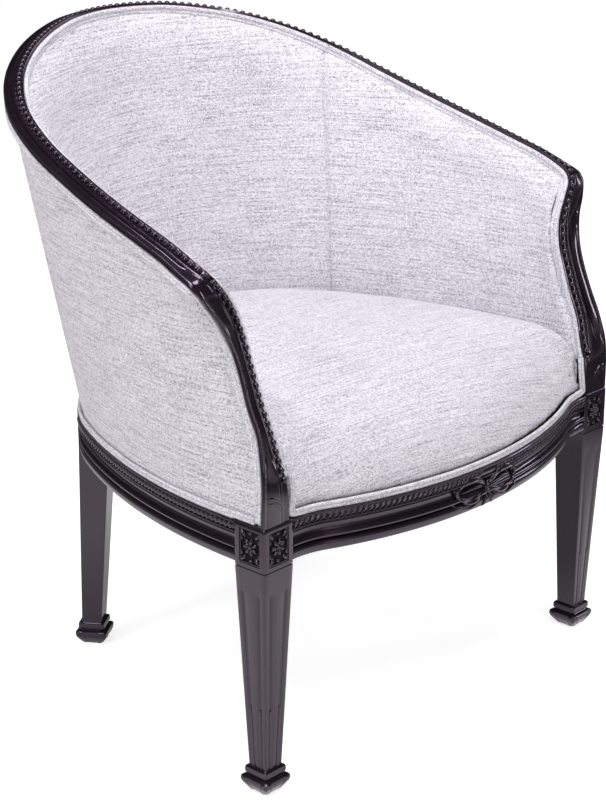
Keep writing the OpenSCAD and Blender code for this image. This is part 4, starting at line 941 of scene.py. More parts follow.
def over_long(d):
    # Lift of a cross strap at d from its middle, where it lies on the long ones
    return 1.5 * (1 - smooth((abs(d) - reach) / 9.0))


cross_runs = []
for s in (0.16, 0.34, 0.515, 0.7):
    y = block_y + s * plan_depth
    half = plan_a - tack_inset
    if y > plan_y:
        half = min(side_plan(max(y - half_strap, plan_y + 1), tack_inset),
                   side_plan(y + half_strap, tack_inset))
    cross_runs.append(((-half, y), (half, y)))
strap_set("cross_straps", cross_runs, rail_top + 0.02, over_long, ("seat_webbing_cross",))

# Seat. A crowned cushion of foam under tight tweed, sprung on jute webbing. It rises from the
# double welt on the front rail, rolls over a full crown and dives between the inside covers.
seat_crown, seat_line, wall_t = 440.0, 405.0, 50.0
wall_bottom = rail_top + 3.0 + gap
welt_drop = pearl_r / 2 + 4 * welt_r + 3 * gap
post_inner = guide_rows[0, 0] - rail_lip - gap
apron = block_top + gap + 1.5
corner_top = guide(1.25)[2]
seat_middle = np.array([0, block_y + 0.4 * plan_depth])
side_dip, back_dip = 9, 4


def slub_tweed(name, light, mid, dark):
    # Wool and linen tweed: every crossing of the weave has its own tone, thick uneven weft threads
    # give slubs and a few darker lines, and fibre ends give a soft sheen. Crossings are drawn
    # 1.4 by 1.25 mm, slubs 59 by 1.6 mm and lines 200 by 2 mm, as coarse as they need to show.
    material, tree, shader = new_material(name)
    weave = add(tree, "ShaderNodeUVMap", (-1900, 0), uv_map="weave").outputs[0]
    grid = add(tree, "ShaderNodeMapping", (-1700, 0), {"Vector": weave, "Scale": (720, 800, 1)}).outputs[0]
    cell = add(tree, "ShaderNodeVectorMath", (-1500, 100), {0: grid}, operation="FLOOR").outputs[0]
    tone = add(tree, "ShaderNodeTexWhiteNoise", (-1300, 100), {"Vector": cell},
               noise_dimensions="2D").outputs["Value"]
    inner = add(tree, "ShaderNodeVectorMath", (-1500, -150), {0: grid}, operation="FRACTION").outputs[0]
    rest = add(tree, "ShaderNodeVectorMath", (-1300, -250), {0: (1, 1, 1), 1: inner},
               operation="SUBTRACT").outputs[0]
    domes = add(tree, "ShaderNodeVectorMath", (-1100, -200), {0: inner, 1: rest},
                operation="MULTIPLY").outputs[0]
    dome = add(tree, "ShaderNodeSeparateXYZ", (-900, -200), {0: domes})
    crossing = add(tree, "ShaderNodeMath", (-700, -200), {0: dome.outputs[0], 1: dome.outputs[1]},
                   operation="MULTIPLY").outputs[0]
    streaks = add(tree, "ShaderNodeMapping", (-1250, 400), {"Vector": weave, "Scale": (17, 640, 1)})
    slubs = add(tree, "ShaderNodeTexNoise", (-1050, 400),
                {"Vector": streaks.outputs[0], "Scale": 1.0, "Detail": 2.0, "Roughness": 0.6})
    slub_share = add(tree, "ShaderNodeMapRange", (-850, 400),
                     {"Value": slubs.outputs["Fac"], "From Min": 0.33, "From Max": 0.66}).outputs[0]
    long_lines = add(tree, "ShaderNodeMapping", (-1250, 700), {"Vector": weave, "Scale": (5, 500, 1)})
    lines = add(tree, "ShaderNodeTexNoise", (-1050, 700),
                {"Vector": long_lines.outputs[0], "Scale": 1.0, "Detail": 1.0, "Roughness": 0.5})
    line_share = add(tree, "ShaderNodeMapRange", (-850, 700), {
        "Value": lines.outputs["Fac"], "From Min": 0.57, "From Max": 0.74, "To Max": 0.34}).outputs[0]
    yarn = add(tree, "ShaderNodeMath", (-650, 200), {0: tone, 1: 0.64}, operation="MULTIPLY").outputs[0]
    yarn = add(tree, "ShaderNodeMath", (-450, 200), {0: slub_share, 1: 0.36, 2: yarn},
               operation="MULTIPLY_ADD").outputs[0]
    low = add(tree, "ShaderNodeMapRange", (-250, 350), {"Value": yarn, "From Max": 0.36}).outputs[0]
    high = add(tree, "ShaderNodeMapRange", (-250, 100), {"Value": yarn, "From Min": 0.36}).outputs[0]
    ground = add(tree, "ShaderNodeMix", (-50, 350), {0: low, 6: hex_colour(dark), 7: hex_colour(mid)},
                 data_type="RGBA").outputs[2]
    speckled = add(tree, "ShaderNodeMix", (100, 250), {0: high, 6: ground, 7: hex_colour(light)},
                   data_type="RGBA").outputs[2]
    final = add(tree, "ShaderNodeMix", (250, 350), {0: line_share, 6: speckled, 7: hex_colour(dark)},
                data_type="RGBA").outputs[2]
    tree.links.new(final, shader.inputs["Base Color"])
    relief = add(tree, "ShaderNodeMath", (-450, -250), {0: tone, 1: 0.8, 2: 0.5},
                 operation="MULTIPLY_ADD").outputs[0]
    relief = add(tree, "ShaderNodeMath", (-250, -250), {0: relief, 1: crossing},
                 operation="MULTIPLY").outputs[0]
    relief = add(tree, "ShaderNodeMath", (-50, -250), {0: relief, 1: 14.0, 2: slubs.outputs["Fac"]},
                 operation="MULTIPLY_ADD").outputs[0]
    bump = add(tree, "ShaderNodeBump", (150, -250), {"Height": relief, "Strength": 0.5, "Distance": 0.0005})
    tree.links.new(bump.outputs[0], shader.inputs["Normal"])
    shader.inputs["Roughness"].default_value = 0.92
    shader.inputs["Specular IOR Level"].default_value = 0.25
    shader.inputs["Sheen Weight"].default_value = 0.2
    shader.inputs["Sheen Roughness"].default_value = 0.5
    return material


tweed = slub_tweed("slub_tweed", "#fdfbfe", "#cfcad2", "#6a646f")
# Open-celled polyurethane foam, cut from a block: matt cream, with pores of about a millimetre
foam = fibre_material("cut_polyurethane_foam", "#c9b57e", "#efe3bb", 900)


def seat_outline():
    # The seat's edge from the middle of the front round to the middle of the back, and mirrored
    y0, side_x = block_y + inset_under + 2 * gap, plan_a - wall_t - 2 * gap
    edge_y = guide_rows[0, 1] + welt_drop - 2
    front_xs = np.linspace(0, 0.955 * post_inner, 30)
    rows = [(x, front_plan(x, inset_under + 3 * gap), apron) for x in front_xs]
    rows += [(post_inner - 1.5, y0 + 0.8, apron + 2),
             (post_inner, blend(y0, edge_y, 0.3), blend(apron, corner_top, 0.45)),
             (post_inner, blend(y0, edge_y, 0.6), blend(apron, corner_top, 0.7)),
             (post_inner - 0.5, edge_y - 4 * gap, corner_top),
             (blend(post_inner, side_x, 0.5), edge_y, corner_top + 3),
             (side_x, edge_y + 2 * gap, blend(corner_top, seat_line, 0.15)),
             (side_x, blend(edge_y, plan_y, 0.25), blend(corner_top, seat_line, 0.4)),
             (side_x, blend(edge_y, plan_y, 0.5), blend(corner_top, seat_line, 0.6)),
             (side_x, blend(edge_y, plan_y, 0.8), blend(corner_top, seat_line, 0.75))]
    for s in np.linspace(0.02, 1, 26):
        p = plan_point(s * side_len, wall_t + 3 * gap)
        along_arm = blend(corner_top, seat_line, 0.75)
        rows.append((p[0], p[1], blend(seat_line - side_dip, along_arm, clamp(1 - 8 * s))))
    for s in np.linspace(0.06, 1, 18):
        p = plan_point(side_len + s * back_len, wall_t + 3 * gap)
        rows.append((p[0], p[1], seat_line - blend(side_dip, back_dip, smooth(2 * s))))
    rows = np.array(rows)
    return np.concatenate([rows, flipped(rows[-2:0:-1])])


outline = seat_outline()
outline_steps = np.linalg.norm(np.diff(np.concatenate([outline, outline[:1]]), axis=0), axis=1)
outline_places = np.concatenate([[0], np.cumsum(outline_steps)[:-1]])


def eased_outline(spread):
    # The seat's edge averaged along its length, so that its corners fade towards the crown
    away = np.abs(outline_places[:, None] - outline_places[None, :])
    away = np.minimum(away, outline_steps.sum() - away)
    weights = np.exp(-(away / spread) ** 2) * (outline_steps + np.roll(outline_steps, 1))[None, :]
    return weights @ outline / weights.sum(axis=1, keepdims=True)


def seat_ring(share, inset, crown, drop, ease):
    # The edge drawn in to a share of its reach, and lifted onto the crown
    ring = []
    for p in eased_outline(ease + 150 * (1 - share)) - np.array([0, 0, drop]):
        d = p[:2] - seat_middle
        reach = float(np.linalg.norm(d))
        low = clamp((seat_line - p[2]) / (seat_line - apron))
        k = share * (reach - inset * (1 + low)) / reach
        power = 2.3 + 1.5 * low
        z = p[2] + (crown - p[2]) * math.sqrt(max(0.0, 1 - share ** power))
        ring.append((seat_middle[0] + k * d[0], seat_middle[1] + k * d[1], z))
    return np.array(ring)


def cushion(name, inset, crown, floor, shares, material, replaced, drop=0.0, ease=1.0):
    rings = []
    for share in (0.1, 0.5, 0.9, 1.0):
        ring = seat_ring(share, inset, crown, drop, ease)
        ring[:, 2] = floor
        rings.append(ring)
    rings += [seat_ring(share, inset, crown, drop, ease) for share in shares]
    return lofted(name, rings, material, replaced, sharp=0)


cover_shares = [1, 0.997, 0.99, 0.98, 0.965, 0.945, 0.92, 0.89, 0.85, 0.8, 0.74, 0.67, 0.59, 0.5, 0.4,
                0.3, 0.2, 0.1]
foam_shares = [1, 0.98, 0.96, 0.93, 0.89, 0.84, 0.76, 0.66, 0.52, 0.34, 0.14]
seat = cushion("seat_tweed", 0.8, seat_crown - 1.5, wall_bottom + 0.6, cover_shares, tweed, ("seat_cover",))


def inflate(obj, voxel, pressure, cap, frames=20):
    # Lets the cover swell over its padding: even mesh, air pressure, capped movement
    start_mesh = obj.data
    remesh = obj.modifiers.new("even", "REMESH")
    remesh.mode, remesh.voxel_size, remesh.use_smooth_shade = "VOXEL", voxel * mm, True
    even = bpy.data.meshes.new_from_object(obj.evaluated_get(bpy.context.evaluated_depsgraph_get()))
    obj.modifiers.clear()
    obj.data = even
    rest = np.empty(len(even.vertices) * 3)
    even.vertices.foreach_get("co", rest)
    rest = rest.reshape(-1, 3)
    swell = obj.modifiers.new("swell", "CLOTH")
    swell.settings.use_pressure = True
    swell.settings.uniform_pressure_force = pressure
    swell.settings.effector_weights.gravity = 0.0
    swell.settings.quality = 5
    swell.collision_settings.use_collision = False
    swell.point_cache.frame_start, swell.point_cache.frame_end = 1, frames
    scene = bpy.context.scene
    for f in range(1, frames + 1):
        scene.frame_set(f)
    blown = bpy.data.meshes.new_from_object(obj.evaluated_get(bpy.context.evaluated_depsgraph_get()))
    moved = np.empty(len(blown.vertices) * 3)
    blown.vertices.foreach_get("co", moved)
    shift = moved.reshape(-1, 3) - rest
    size = np.linalg.norm(shift, axis=1, keepdims=True)
    shift *= np.minimum(1.0, cap * mm / np.maximum(size, 1e-9))
    # the edge under the welt and between the covers is tacked down, and the underside lies flat
    lift = np.clip((rest[:, 2:3] - (wall_bottom + 6) * mm) / (30 * mm), 0, 1)
    shift[:, 0:2] *= lift * 0.25
    shift[:, 2:3] *= lift
    obj.modifiers.clear()
    even.vertices.foreach_set("co", (rest + shift).ravel())
    even.update()
    scene.frame_set(1)
    obj.data.shade_smooth()
    bpy.data.meshes.remove(blown)
    bpy.data.meshes.remove(start_mesh)


def lay_weave(obj):
    # Weave coordinates of the seat: the weft runs across, and the warp down over the front
    mesh = obj.data
    layer = mesh.uv_layers.get("weave") or mesh.uv_layers.new(name="weave")
    co = np.empty(len(mesh.vertices) * 3)
    mesh.vertices.foreach_get("co", co)
    co = co.reshape(-1, 3)
    front_drop = np.clip((-0.1 - co[:, 1]) / 0.12, 0, 1) * (seat_crown * mm - co[:, 2])
    v = co[:, 1] - front_drop + 0.03 * np.sin(co[:, 0] * 5)
    loops = np.empty(len(mesh.loops), int)
    mesh.loops.foreach_get("vertex_index", loops)
    layer.data.foreach_set("uv", np.stack([co[loops, 0], v[loops]], axis=1).ravel())


inflate(seat, voxel=6, pressure=4.0, cap=4.0)
finish_seat = seat.modifiers.new("smooth", "SMOOTH")
finish_seat.factor, finish_seat.iterations = 0.5, 3
smoothed = bpy.data.meshes.new_from_object(seat.evaluated_get(bpy.context.evaluated_depsgraph_get()))
seat.modifiers.clear()
seat.data = smoothed
lay_weave(seat)
seat_block = cushion("seat_foam_block", cover_t + 3.5, seat_crown - cover_t - 2.5, wall_bottom,
                     foam_shares, foam, ("seat_foam",), drop=4.0, ease=16.0)

# Padding and lining of the tub wall: pads of polyurethane foam, thick at the seat and thin at the
# top, glued to a lining of jute hessian that is tacked to the beech uprights
pad_t, pad_edge, pad_clear, lining_t = 26.0, 3.5, 3.0, 1.0
wall_start, wall_seam = 9.4, 17.6
wood_clear = cover_t + pad_edge + lining_t + 9 * gap
wall_front = (guide_rows[0, 1] + rail_body + gap - plan_y) / side_len
# Where each place on the arm and crest meets the seat rail: 1 at the rear corner, 2 at the middle
wall_shares = [(wall_start, wall_front), (11, 0.06), (12, 0.17), (13, 0.27), (14, 0.46), (15, 0.645),
               (16, 0.83), (17, 0.96), (wall_seam, 1), (18, 1.1), (19, 1.27), (20, 1.43), (21, 1.58),
               (22, 1.737), (23, 1.87), (24, 2)]


def wall_distance(t):
    s = lookup(t, wall_shares)
    return s * side_len if s <= 1 else side_len + (s - 1) * back_len


def smooth_distance(t):
    # The pairing of arm and rail places, with the corners of its table rounded
    if t < wall_start + 0.6 or t > 23.3:
        return wall_distance(t)
    return sum(wall_distance(t + 0.5 * k) * w for k, w in ((-1, 0.25), (0, 0.5), (1, 0.25)))


def mix_normal(t, v):
    n = plan_normal(smooth_distance(t))
    return unit(blend(np.array([n[0], n[1], 0]), guide_frame(t)[1], clamp(v)))


def front_pull(t):
    # How far the wall's front edge is drawn to the post, fading back along the arm
    return 1 - smooth((t - wall_start) / 4)


def inner_top(t):
    return at_guide(t, -rail_lip - wood_clear, -welt_drop)


def inner_ruled(t, v):
    # The wall's inner face before padding: v is -1 at the lower edge, 0 at the seat, 1 at the top
    p, q, s = plan_point(smooth_distance(t), wall_t), inner_top(t), clamp(v) ** 1.4
    z = blend(wall_bottom, seat_line, v + 1) if v < 0 else blend(seat_line, q[2], v)
    return np.array([blend(p[0], q[0], s), blend(p[1], q[1], s), z])


def rise_station(z):
    return float(np.interp(z, guide_rows[:, 2], range(last + 1)))


def inner_front(v):
    if v >= 1:
        return inner_top(wall_start)
    z = inner_ruled(wall_start, v)[2]
    p = at_guide(rise_station(z), -rail_lip - wood_clear, -welt_drop)
    p[2] = max(p[2], wall_bottom)
    return p


front_cache = {}


def inner_point(t, v, inward):
    if v not in front_cache:
        front_cache[v] = inner_front(v) - inner_ruled(wall_start, v)
    return inner_ruled(t, v) + front_pull(t) * front_cache[v] + inward * mix_normal(t, v)


def pad_depth(t, v):
    return pad_edge + (pad_t - pad_edge) * (1 - clamp(v)) ** 1.2 * smooth((t - 10.1) / 1.7)


def slab_piece(name, front, back, material, replaced, weft_row=None):
    # A sheet or pad between two grids of points, closed round its rim. Its weave is measured
    # along one row of points, the middle one where none is given, and by height.
    front, back = np.asarray(front, float), np.asarray(back, float)
    m, n = front.shape[:2]
    k = m * n
    cell = [(i * n + j, i * n + j + 1, (i + 1) * n + j + 1, (i + 1) * n + j)
            for i in range(m - 1) for j in range(n - 1)]
    faces = cell + [tuple(k + v for v in reversed(f)) for f in cell]
    rim = [i * n for i in range(m)] + [(m - 1) * n + j for j in range(1, n)]
    rim += [i * n + n - 1 for i in range(m - 2, -1, -1)] + list(range(n - 2, 0, -1))
    faces += [(a, b, k + b, k + a) for a, b in zip(rim, rim[1:] + rim[:1])]
    row = front[:, n // 2 if weft_row is None else weft_row]
    along = np.concatenate([[0], np.cumsum(np.linalg.norm(np.diff(row, axis=0), axis=1))])
    uv = [(along[i], front[i, j][2]) for i in range(m) for j in range(n)] * 2
    return piece_from(name, np.concatenate([front.reshape(-1, 3), back.reshape(-1, 3)]), faces, material,
                      replaced, uv, sharp=60)


def round_whole(grid):
    return np.concatenate([grid, [flipped(r) for r in grid[-2::-1]]])


def slab_pair(name, front, back, material, replaced, weft_row=None):
    # The right slab and its mirrored left one
    left = [np.array([flipped(r) for r in grid]) for grid in (front, back)]
    return [slab_piece(name + "_right", front, back, material, (replaced + "_right",), weft_row),
            slab_piece(name + "_left", left[0], left[1], material, (replaced + "_left",), weft_row)]


def layer_grid(ts, start, with_pad):
    return np.array([[inner_point(t, v, start + (pad_depth(t, v) if with_pad else 0)) for v in pad_rows]
                     for t in ts])


pad_rows = [-1, -0.5, 0, 0.15, 0.3, 0.45, 0.6, 0.72, 0.8, 0.87, 0.93]
pad_arm_ts = stations(wall_start + 0.6, wall_seam, 0.3)
pad_back_ts = stations(wall_seam, 24, 0.32)
front, back = layer_grid(pad_arm_ts, cover_t + pad_clear, False), layer_grid(pad_arm_ts, cover_t, True)
back = np.where(np.linalg.norm(back - front, axis=2, keepdims=True) < 0.5, back + gap, back)
pads = slab_pair("arm_padding", front, back, foam, "arm_pad")
pads.append(slab_piece("back_padding", round_whole(layer_grid(pad_back_ts, cover_t + pad_clear, False)),
                       round_whole(layer_grid(pad_back_ts, cover_t, True)), foam, ("back_pad",)))
lining_ts = pad_arm_ts + pad_back_ts[1:]
lining = slab_piece("jute_lining", round_whole(layer_grid(lining_ts, cover_t + gap, True)),
                    round_whole(layer_grid(lining_ts, cover_t + lining_t, True)), jute, ("inside_lining",))

# Inside covers. Pale tweed in plain weave with slubby weft threads is drawn tight over the padding
# and tacked under the show-wood, in three panels that meet in a sunk seam behind each arm.
seam_deep, seam_reach, edge_turn, edge_reach = 4.0, 3.4, 3.5, 8.0
cover_rows = [-1, -0.5, 0] + list(np.linspace(0.03, 0.9, 26)) + [0.93, 0.955, 0.975, 0.99, 1.0]
arm_ts = stations(wall_start, 10.6, 0.06) + stations(10.7, 17.2, 0.12) + stations(17.26, wall_seam, 0.04)
back_ts = stations(wall_seam, 18.0, 0.04) + stations(18.12, 24, 0.12)


def plump(v):
    # Crown of the padding between the seat and the top edge, and the roll into the edge
    crown = 3.2 * math.sin(math.pi * clamp(v)) ** 0.8 if 0 < v < 1 else 0.0
    return crown + 4.5 * math.exp(-((v - 0.88) / 0.09) ** 2)


def tuck(v):
    # The cover dives under the welt at its top
    return 5.0 * clamp((v - 0.93) / 0.07) ** 2.2


def inside_grid(ts, extra):
    # Face of the cover: it dips at the seam between back and arm, and turns in at the post
    rows = []
    for t in ts:
        d = smooth_distance(t)
        seam = seam_deep * math.exp(-((d - smooth_distance(wall_seam)) / seam_reach) ** 2)
        edge = edge_turn * clamp(1 - (d - wall_front * side_len) / edge_reach) ** 2
        rows.append([inner_point(t, v, extra - plump(v) + tuck(v) + edge + (seam if v > -0.2 else 0))
                     for v in cover_rows])
    return np.array(rows)


weft_row = int(np.searchsorted(cover_rows, 0.4))
inside_covers = slab_pair("inside_arm_tweed", inside_grid(arm_ts, 0), inside_grid(arm_ts, cover_t),
                          tweed, "inside_arm_cover", weft_row)
front, back = round_whole(inside_grid(back_ts, 0)), round_whole(inside_grid(back_ts, cover_t))
inside_covers.append(slab_piece("inside_back_tweed", front, back, tweed, ("inside_back_cover",), weft_row))

# Outside covers: the same tweed, drawn flat over the bare uprights from the rails to the rebate
# behind the show-wood, with a plain seam at each rear corner
outer_seam = 19.3


def outer_top(t):
    g = guide(t)
    return at_guide(t, g[3] - inset_under, g[4] - arm_edge - 5 * gap)


def outer_base(d):
    # The lower edge steps down from the top of the block to the top of the rail
    if d < block_w / 3:
        return block_top + gap
    return blend(block_top, rail_top, smooth((d - block_w / 3) / 4)) + gap


def outer_ruled(t, v):
    d = smooth_distance(t)
    p = plan_point(d, inset_under)
    return blend(np.array([p[0], p[1], outer_base(d)]), outer_top(t), v)


outer_cache = {}


def outer_point(t, v, depth_in):
    if v not in outer_cache:
        if v >= 1:
            place = outer_top(wall_start)
        else:
            place = outer_top(rise_station(outer_ruled(wall_start, v)[2]))
            place[2] = max(place[2], outer_base(0))
        outer_cache[v] = place - outer_ruled(wall_start, v)
    swell = 1.2 * math.sin(math.pi * clamp(v))
    return outer_ruled(t, v) + front_pull(t) * outer_cache[v] + (swell - depth_in) * mix_normal(t, v)


outer_rows = list(np.linspace(0, 1, 25))
outer_arm_ts = stations(wall_start, outer_seam, 0.1)
outer_back_ts = stations(outer_seam, 24, 0.1)


def outside_grid(ts, depth_in):
    return np.array([[outer_point(t, v, depth_in) for v in outer_rows] for t in ts])


front, back = outside_grid(outer_arm_ts, 0), outside_grid(outer_arm_ts, cover_t)
outside_covers = slab_pair("outside_arm_tweed", front, back, tweed, "outside_arm_cover")
front, back = outside_grid(outer_back_ts, 0), outside_grid(outer_back_ts, cover_t)
outside_covers.append(slab_piece("outside_back_tweed", round_whole(front), round_whole(back), tweed,
                                 ("outside_back_cover",)))

# Double welts: two piping cords sewn side by side in bias-cut tweed, glued over every tacked edge
# of the covers. The section is that of both cords with the groove between them.
double_cord = [(1 + 1.04 * math.cos(math.radians(a)), 0.98 + 1.0 * math.sin(math.radians(a)))
               for a in np.linspace(-80, 148, 11)]
double_cord += [(-x, y) for x, y in double_cord[::-1]]


def welt_rings(path, cord):
    # path: rows of base point and stand-off direction
    points = np.array([p for p, d in path], float)
    rings = []
    for i, (p, d) in enumerate(path):
        run = unit(points[min(i + 1, len(path) - 1)] - points[max(i - 1, 0)])
        d = unit(np.asarray(d) - float(np.dot(d, run)) * run)
        w = unit(np.cross(d, run))
        rings.append([np.asarray(p) + x * cord * w + y * cord * d for x, y in double_cord])
    return rings


def both_ways(half):
    return half + [(flipped(p), flipped(d)) for p, d in half[-2::-1]]


def welt(name, half, replaced, cord=welt_r):
    obj = lofted(name, welt_rings(both_ways(half), cord), tweed, (replaced,), sharp=0, uv_size=28.0)


def curve_through(rows, per):
    # A smooth run through rows of place and direction
    line = through([np.concatenate([np.asarray(p, float), np.asarray(d, float)]) for p, d in rows], per)
    return [(q[:3], unit(q[3:])) for q in line]


inside_cord = 2.9
inside_rows = [(at_guide(t, -rail_lip - 2 * gap, -pearl_r / 2 - 2 * inside_cord), -guide_frame(t)[1])
               for t in stations(1.37, 24, 0.09)]
welt("inside_double_welt", inside_rows, "inside_welt", inside_cord)
lean = [(0, 0.05), (3, 0.25), (5, 0.5), (6.5, 0.5), (9, 0.25), (12, 0)]
top_rows = []
for t in stations(0.12, 24, 0.09):
    p, out, up = guide_frame(t)
    k = lookup(t, lean)
    g = guide(t)
    base = at_guide(t, g[3] - inset_under + 1.5, g[4] - arm_edge - 5 * gap) + 2 * welt_r * unit(k * out - up)
    top_rows.append((base, unit(out + k * up)))
welt("outside_double_welt_top", top_rows, "outside_welt_top")
base_start = wall_start + (11 - wall_start) * (4 * welt_r + 3 * gap) / side_len / (0.06 - wall_front)
base_rows = []
for t in stations(base_start, 24, 0.08):
    a, n = outer_point(t, 0.0, -gap), mix_normal(t, 0)
    rise = unit(outer_point(t, 0.1, -gap) - a)
    d = unit(n - float(n @ rise) * rise)
    base_rows.append((a + (2 * welt_r + gap) * rise + 2 * gap * d, d))
welt("outside_double_welt_base", base_rows, "outside_welt_base")
x, z, y = post_inner - 2 * welt_r, rail_top + gap + 2 * welt_r, block_y + inset_under
y1 = guide_rows[0, 1] + 6
seat_rows = [((x - 3, y1 + 1, corner_top + 4), (0, -1, 0)),
             ((x - 3, blend(y, y1, 0.5) - 0.5, blend(z, corner_top, 0.6)), (0, -1, 0)),
             ((x, y, z + 2.5 * welt_r), (0, -1, 0)), ((x - 0.8 * welt_r, y, z + 0.8 * welt_r), (0, -1, 0))]
for s in np.arange(0.96, 0.01, -0.04):
    q = s * (x - 2 * welt_r)
    n = unit((front_plan(q + 0.5, inset_under) - front_plan(q, inset_under), -0.5))
    seat_rows.append(((q, front_plan(q, inset_under), z), (n[0], n[1], 0)))
seat_rows.append(((0, front_plan(0, inset_under), z), (0, -1, 0)))
welt("seat_double_welt", curve_through(seat_rows, 4), "seat_welt")

# Dust cover: thin black cambric, turned in at its edge, stapled under the rails and drawn
# slightly up between them
# Calendered black cambric: thin, flat and slightly papery
cambric = fibre_material("black_cambric", "#151516", "#262628", 700)


def rails_outline(inset):
    half = [(s * (plan_a - inset), front_plan(s * (plan_a - inset), inset)) for s in np.linspace(0, 1, 22)]
    half = [p for p in half if p[0] < block_inner - 1]
    half += [(block_inner - 1, block_y + inset), (block_inner - 1, plan_y + 1), (plan_a - inset, plan_y + 1)]
    half += [tuple(plan_point(s * side_len, inset)) for s in np.linspace(0.02, 1, 20)]
    leg_angle = math.atan2(rear_centre[1] - back_cy, rear_centre[0])
    leg_near, leg_far = leg_angle - 0.155, leg_angle + 0.2
    half += [((back_r - inset) * math.cos(a), back_cy + (back_r - inset) * math.sin(a))
             for a in np.linspace(side_arc + 0.02, leg_near, 6)]
    for a, b in ((20, 10), (20, -20), (-20, -20), (-20, 3)):
        half.append(tuple(rear_centre + a * rear_ax + b * rear_ay))
    half += [((back_r - inset) * math.cos(a), back_cy + (back_r - inset) * math.sin(a))
             for a in np.linspace(leg_far, math.pi / 2, 10)]
    half = np.array([(p[0], p[1], 0) for p in half])
    return np.concatenate([half, flipped(half[-2:0:-1])])


cambric_t, cambric_top = 0.5, rail_bottom - 0.4
dust_rises = [(0.05, 2.5), (0.4, 2.2), (0.8, 1.0), (0.95, 0.2), (1.0, 0.0)]
edge = rails_outline(rail_t / 2)
dust_rings = []
for below, rises in ((cambric_t, dust_rises), (0, dust_rises[::-1])):
    for share, rise in rises:
        ring = edge * share
        ring[:, 2] = cambric_top + rise - below
        dust_rings.append(ring)
dust = lofted("cambric_dust_cover", dust_rings, cambric, ("dust_cover",), sharp=0)

# Studio: a sheet of white paper as floor and backdrop, soft light from above, in front and both
# sides, and a camera that stands where the picture was taken from
camera = bpy.data.cameras.new("studio_camera")
camera.lens, camera.sensor_width, camera.sensor_fit = 92.43, 36.0, "AUTO"
camera.clip_end = 30
eye = bpy.data.objects.new("studio_camera", camera)
eye.location = (-1.76295, -1.6637, 1.2002)
eye.rotation_euler = (math.radians(70.24), 0, math.radians(-47.21))
bpy.context.collection.objects.link(eye)
bpy.context.scene.camera = eye


def lamp(name, place, target, size, power, colour):
    light = bpy.data.lights.new(name, "AREA")
    light.shape, light.energy = "RECTANGLE", power
    light.size, light.size_y = size
    light.color = hex_colour(colour)[:3]
    obj = bpy.data.objects.new(name, light)
    obj.location = place
    obj.rotation_euler = (Vector(target) - Vector(place)).to_track_quat("-Z", "Y").to_euler()
    bpy.context.collection.objects.link(obj)


lamp("overhead_softbox", (-0.2, -0.5, 3.0), (0, 0, 0.4), (1.5, 1.5), 51, "#fcfafd")
lamp("overhead_tube", (-1.4, 0.3, 2.5), (0, 0, 0.5), (1.5, 0.14), 16, "#f2f2ff")
lamp("front_strip", (-0.6, -3.0, 1.1), (0, 0, 0.5), (0.3, 1.9), 19, "#fcfafd")
lamp("side_strip", (2.8, -1.4, 1.5), (0, 0, 0.4), (0.4, 1.8), 11, "#f0efff")
lamp("left_strip", (-3.1, 0.4, 1.3), (0, 0, 0.5), (0.6, 1.9), 32, "#fefbfa")

floor_mesh = bpy.data.meshes.new("studio_floor")
shape = bmesh.new()
bmesh.ops.create_grid(shape, x_segments=2, y_segments=2, size=7)
shape.to_mesh(floor_mesh)
shape.free()
floor = bpy.data.objects.new("studio_floor", floor_mesh)
floor.location = (0, 0, -0.0008)
bpy.context.collection.objects.link(floor)
# Matt background paper: white and even, with no sheen, and the chair's soft shadow on it
paper, paper_tree, paper_shader = new_material("white_studio_paper")
paper_shader.inputs["Base Color"].default_value = hex_colour("#dddddd")
paper_shader.inputs["Roughness"].default_value = 0.9
glow = add(paper_tree, "ShaderNodeEmission", (400, -700), {"Strength": 0.75, "Color": (1, 1, 1, 1)})
both = add(paper_tree, "ShaderNodeAddShader", (600, -400),
           {0: paper_shader.outputs[0], 1: glow.outputs[0]})
rays = add(paper_tree, "ShaderNodeLightPath", (300, -1000))
seen_through = add(paper_tree, "ShaderNodeMath", (650, -1000), {
    0: rays.outputs["Is Camera Ray"], 1: rays.outputs["Is Transmission Ray"]}, operation="MAXIMUM")
# In the lacquer the paper is seen as a painted reflection: a glow that ends a stride away from the chair,
# where the dim room begins, with painted shade that dims it under the seat
on_floor = add(paper_tree, "ShaderNodeTexCoord", (-300, -900))
away = add(paper_tree, "ShaderNodeVectorMath", (-100, -900),
           {0: on_floor.outputs["Object"], 1: (-0.2, -0.3, 0)}, operation="DISTANCE")
sheet_end = add(paper_tree, "ShaderNodeMapRange", (100, -900), {
    "Value": away.outputs["Value"], "From Min": 0.75, "From Max": 1.25, "To Min": 0.86, "To Max": 0.05})
from_middle = add(paper_tree, "ShaderNodeVectorMath", (-100, -1100), {0: on_floor.outputs["Object"]},
                  operation="LENGTH")
# Painted shade: the reflected glow drops to 0.4 under the seat
painted_shade_under_seat = add(paper_tree, "ShaderNodeMapRange", (100, -1100), {
    "Value": from_middle.outputs["Value"], "From Min": 0.2, "From Max": 0.5, "To Min": 0.4, "To Max": 1.0})
painted_reflection_strength = add(paper_tree, "ShaderNodeMath", (250, -1000),
                     {0: sheet_end.outputs[0], 1: painted_shade_under_seat.outputs[0]}, operation="MULTIPLY")
painted_paper_reflection = add(paper_tree, "ShaderNodeEmission", (400, -900), {"Strength": painted_reflection_strength.outputs[0]})
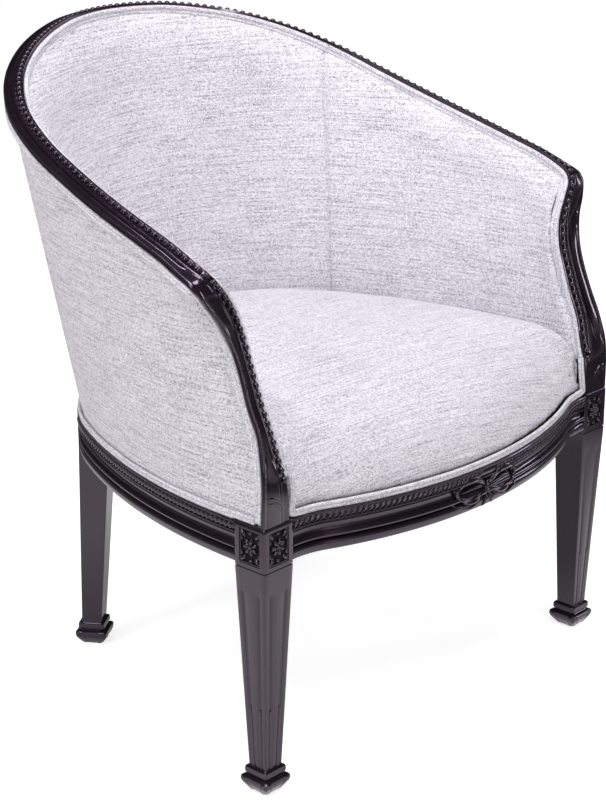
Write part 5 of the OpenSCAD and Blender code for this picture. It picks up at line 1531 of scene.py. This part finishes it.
plain_or_painted_reflection = add(paper_tree, "ShaderNodeMixShader", (700, -700), {
    0: rays.outputs["Is Glossy Ray"], 1: paper_shader.outputs[0], 2: painted_paper_reflection.outputs[0]})
lit = add(paper_tree, "ShaderNodeMixShader", (800, -500), {
    0: seen_through.outputs[0], 1: plain_or_painted_reflection.outputs[0], 2: both.outputs[0]})
paper_out = [n for n in paper_tree.nodes if n.type == "OUTPUT_MATERIAL"][0]
paper_tree.links.new(lit.outputs[0], paper_out.inputs["Surface"])
floor_mesh.materials.append(paper)

world = bpy.data.worlds.new("studio_world")
bpy.context.scene.world = world
world.use_nodes = True
world_tree = world.node_tree
world_tree.nodes.clear()
sees = add(world_tree, "ShaderNodeLightPath", (-700, 0))
direct = add(world_tree, "ShaderNodeMath", (-500, 0),
             {0: sees.outputs["Is Camera Ray"], 1: sees.outputs["Is Transmission Ray"]}, operation="MAXIMUM")
seen = add(world_tree, "ShaderNodeBackground", (-300, 100), {"Strength": 1.0, "Color": (1, 1, 1, 1)})
fill = add(world_tree, "ShaderNodeBackground", (-300, -100), {"Strength": 0.32, "Color": (1, 1, 1, 1)})
# What the lacquer mirrors: the white sweep up to the horizon, and a dim studio ceiling over it
heading = add(world_tree, "ShaderNodeTexCoord", (-1100, -350))
height_share = add(world_tree, "ShaderNodeSeparateXYZ", (-900, -350), {0: heading.outputs["Generated"]})
dimming = add(world_tree, "ShaderNodeMapRange", (-700, -350), {
    "Value": height_share.outputs[2], "From Min": -0.05, "From Max": 0.2, "To Min": 0.3, "To Max": 0.02})
mirrored_room = add(world_tree, "ShaderNodeBackground", (-300, -300),
                    {"Strength": dimming.outputs[0], "Color": (1, 1, 1, 1)})
fill_or_mirror = add(world_tree, "ShaderNodeMixShader", (-100, -200), {
    0: sees.outputs["Is Glossy Ray"], 1: fill.outputs[0], 2: mirrored_room.outputs[0]})
sky = add(world_tree, "ShaderNodeMixShader", (100, 0), {
    0: direct.outputs[0], 1: fill_or_mirror.outputs[0], 2: seen.outputs[0]})
add(world_tree, "ShaderNodeOutputWorld", (300, 0), {"Surface": sky.outputs[0]})
bpy.context.scene.view_settings.view_transform = "Standard"
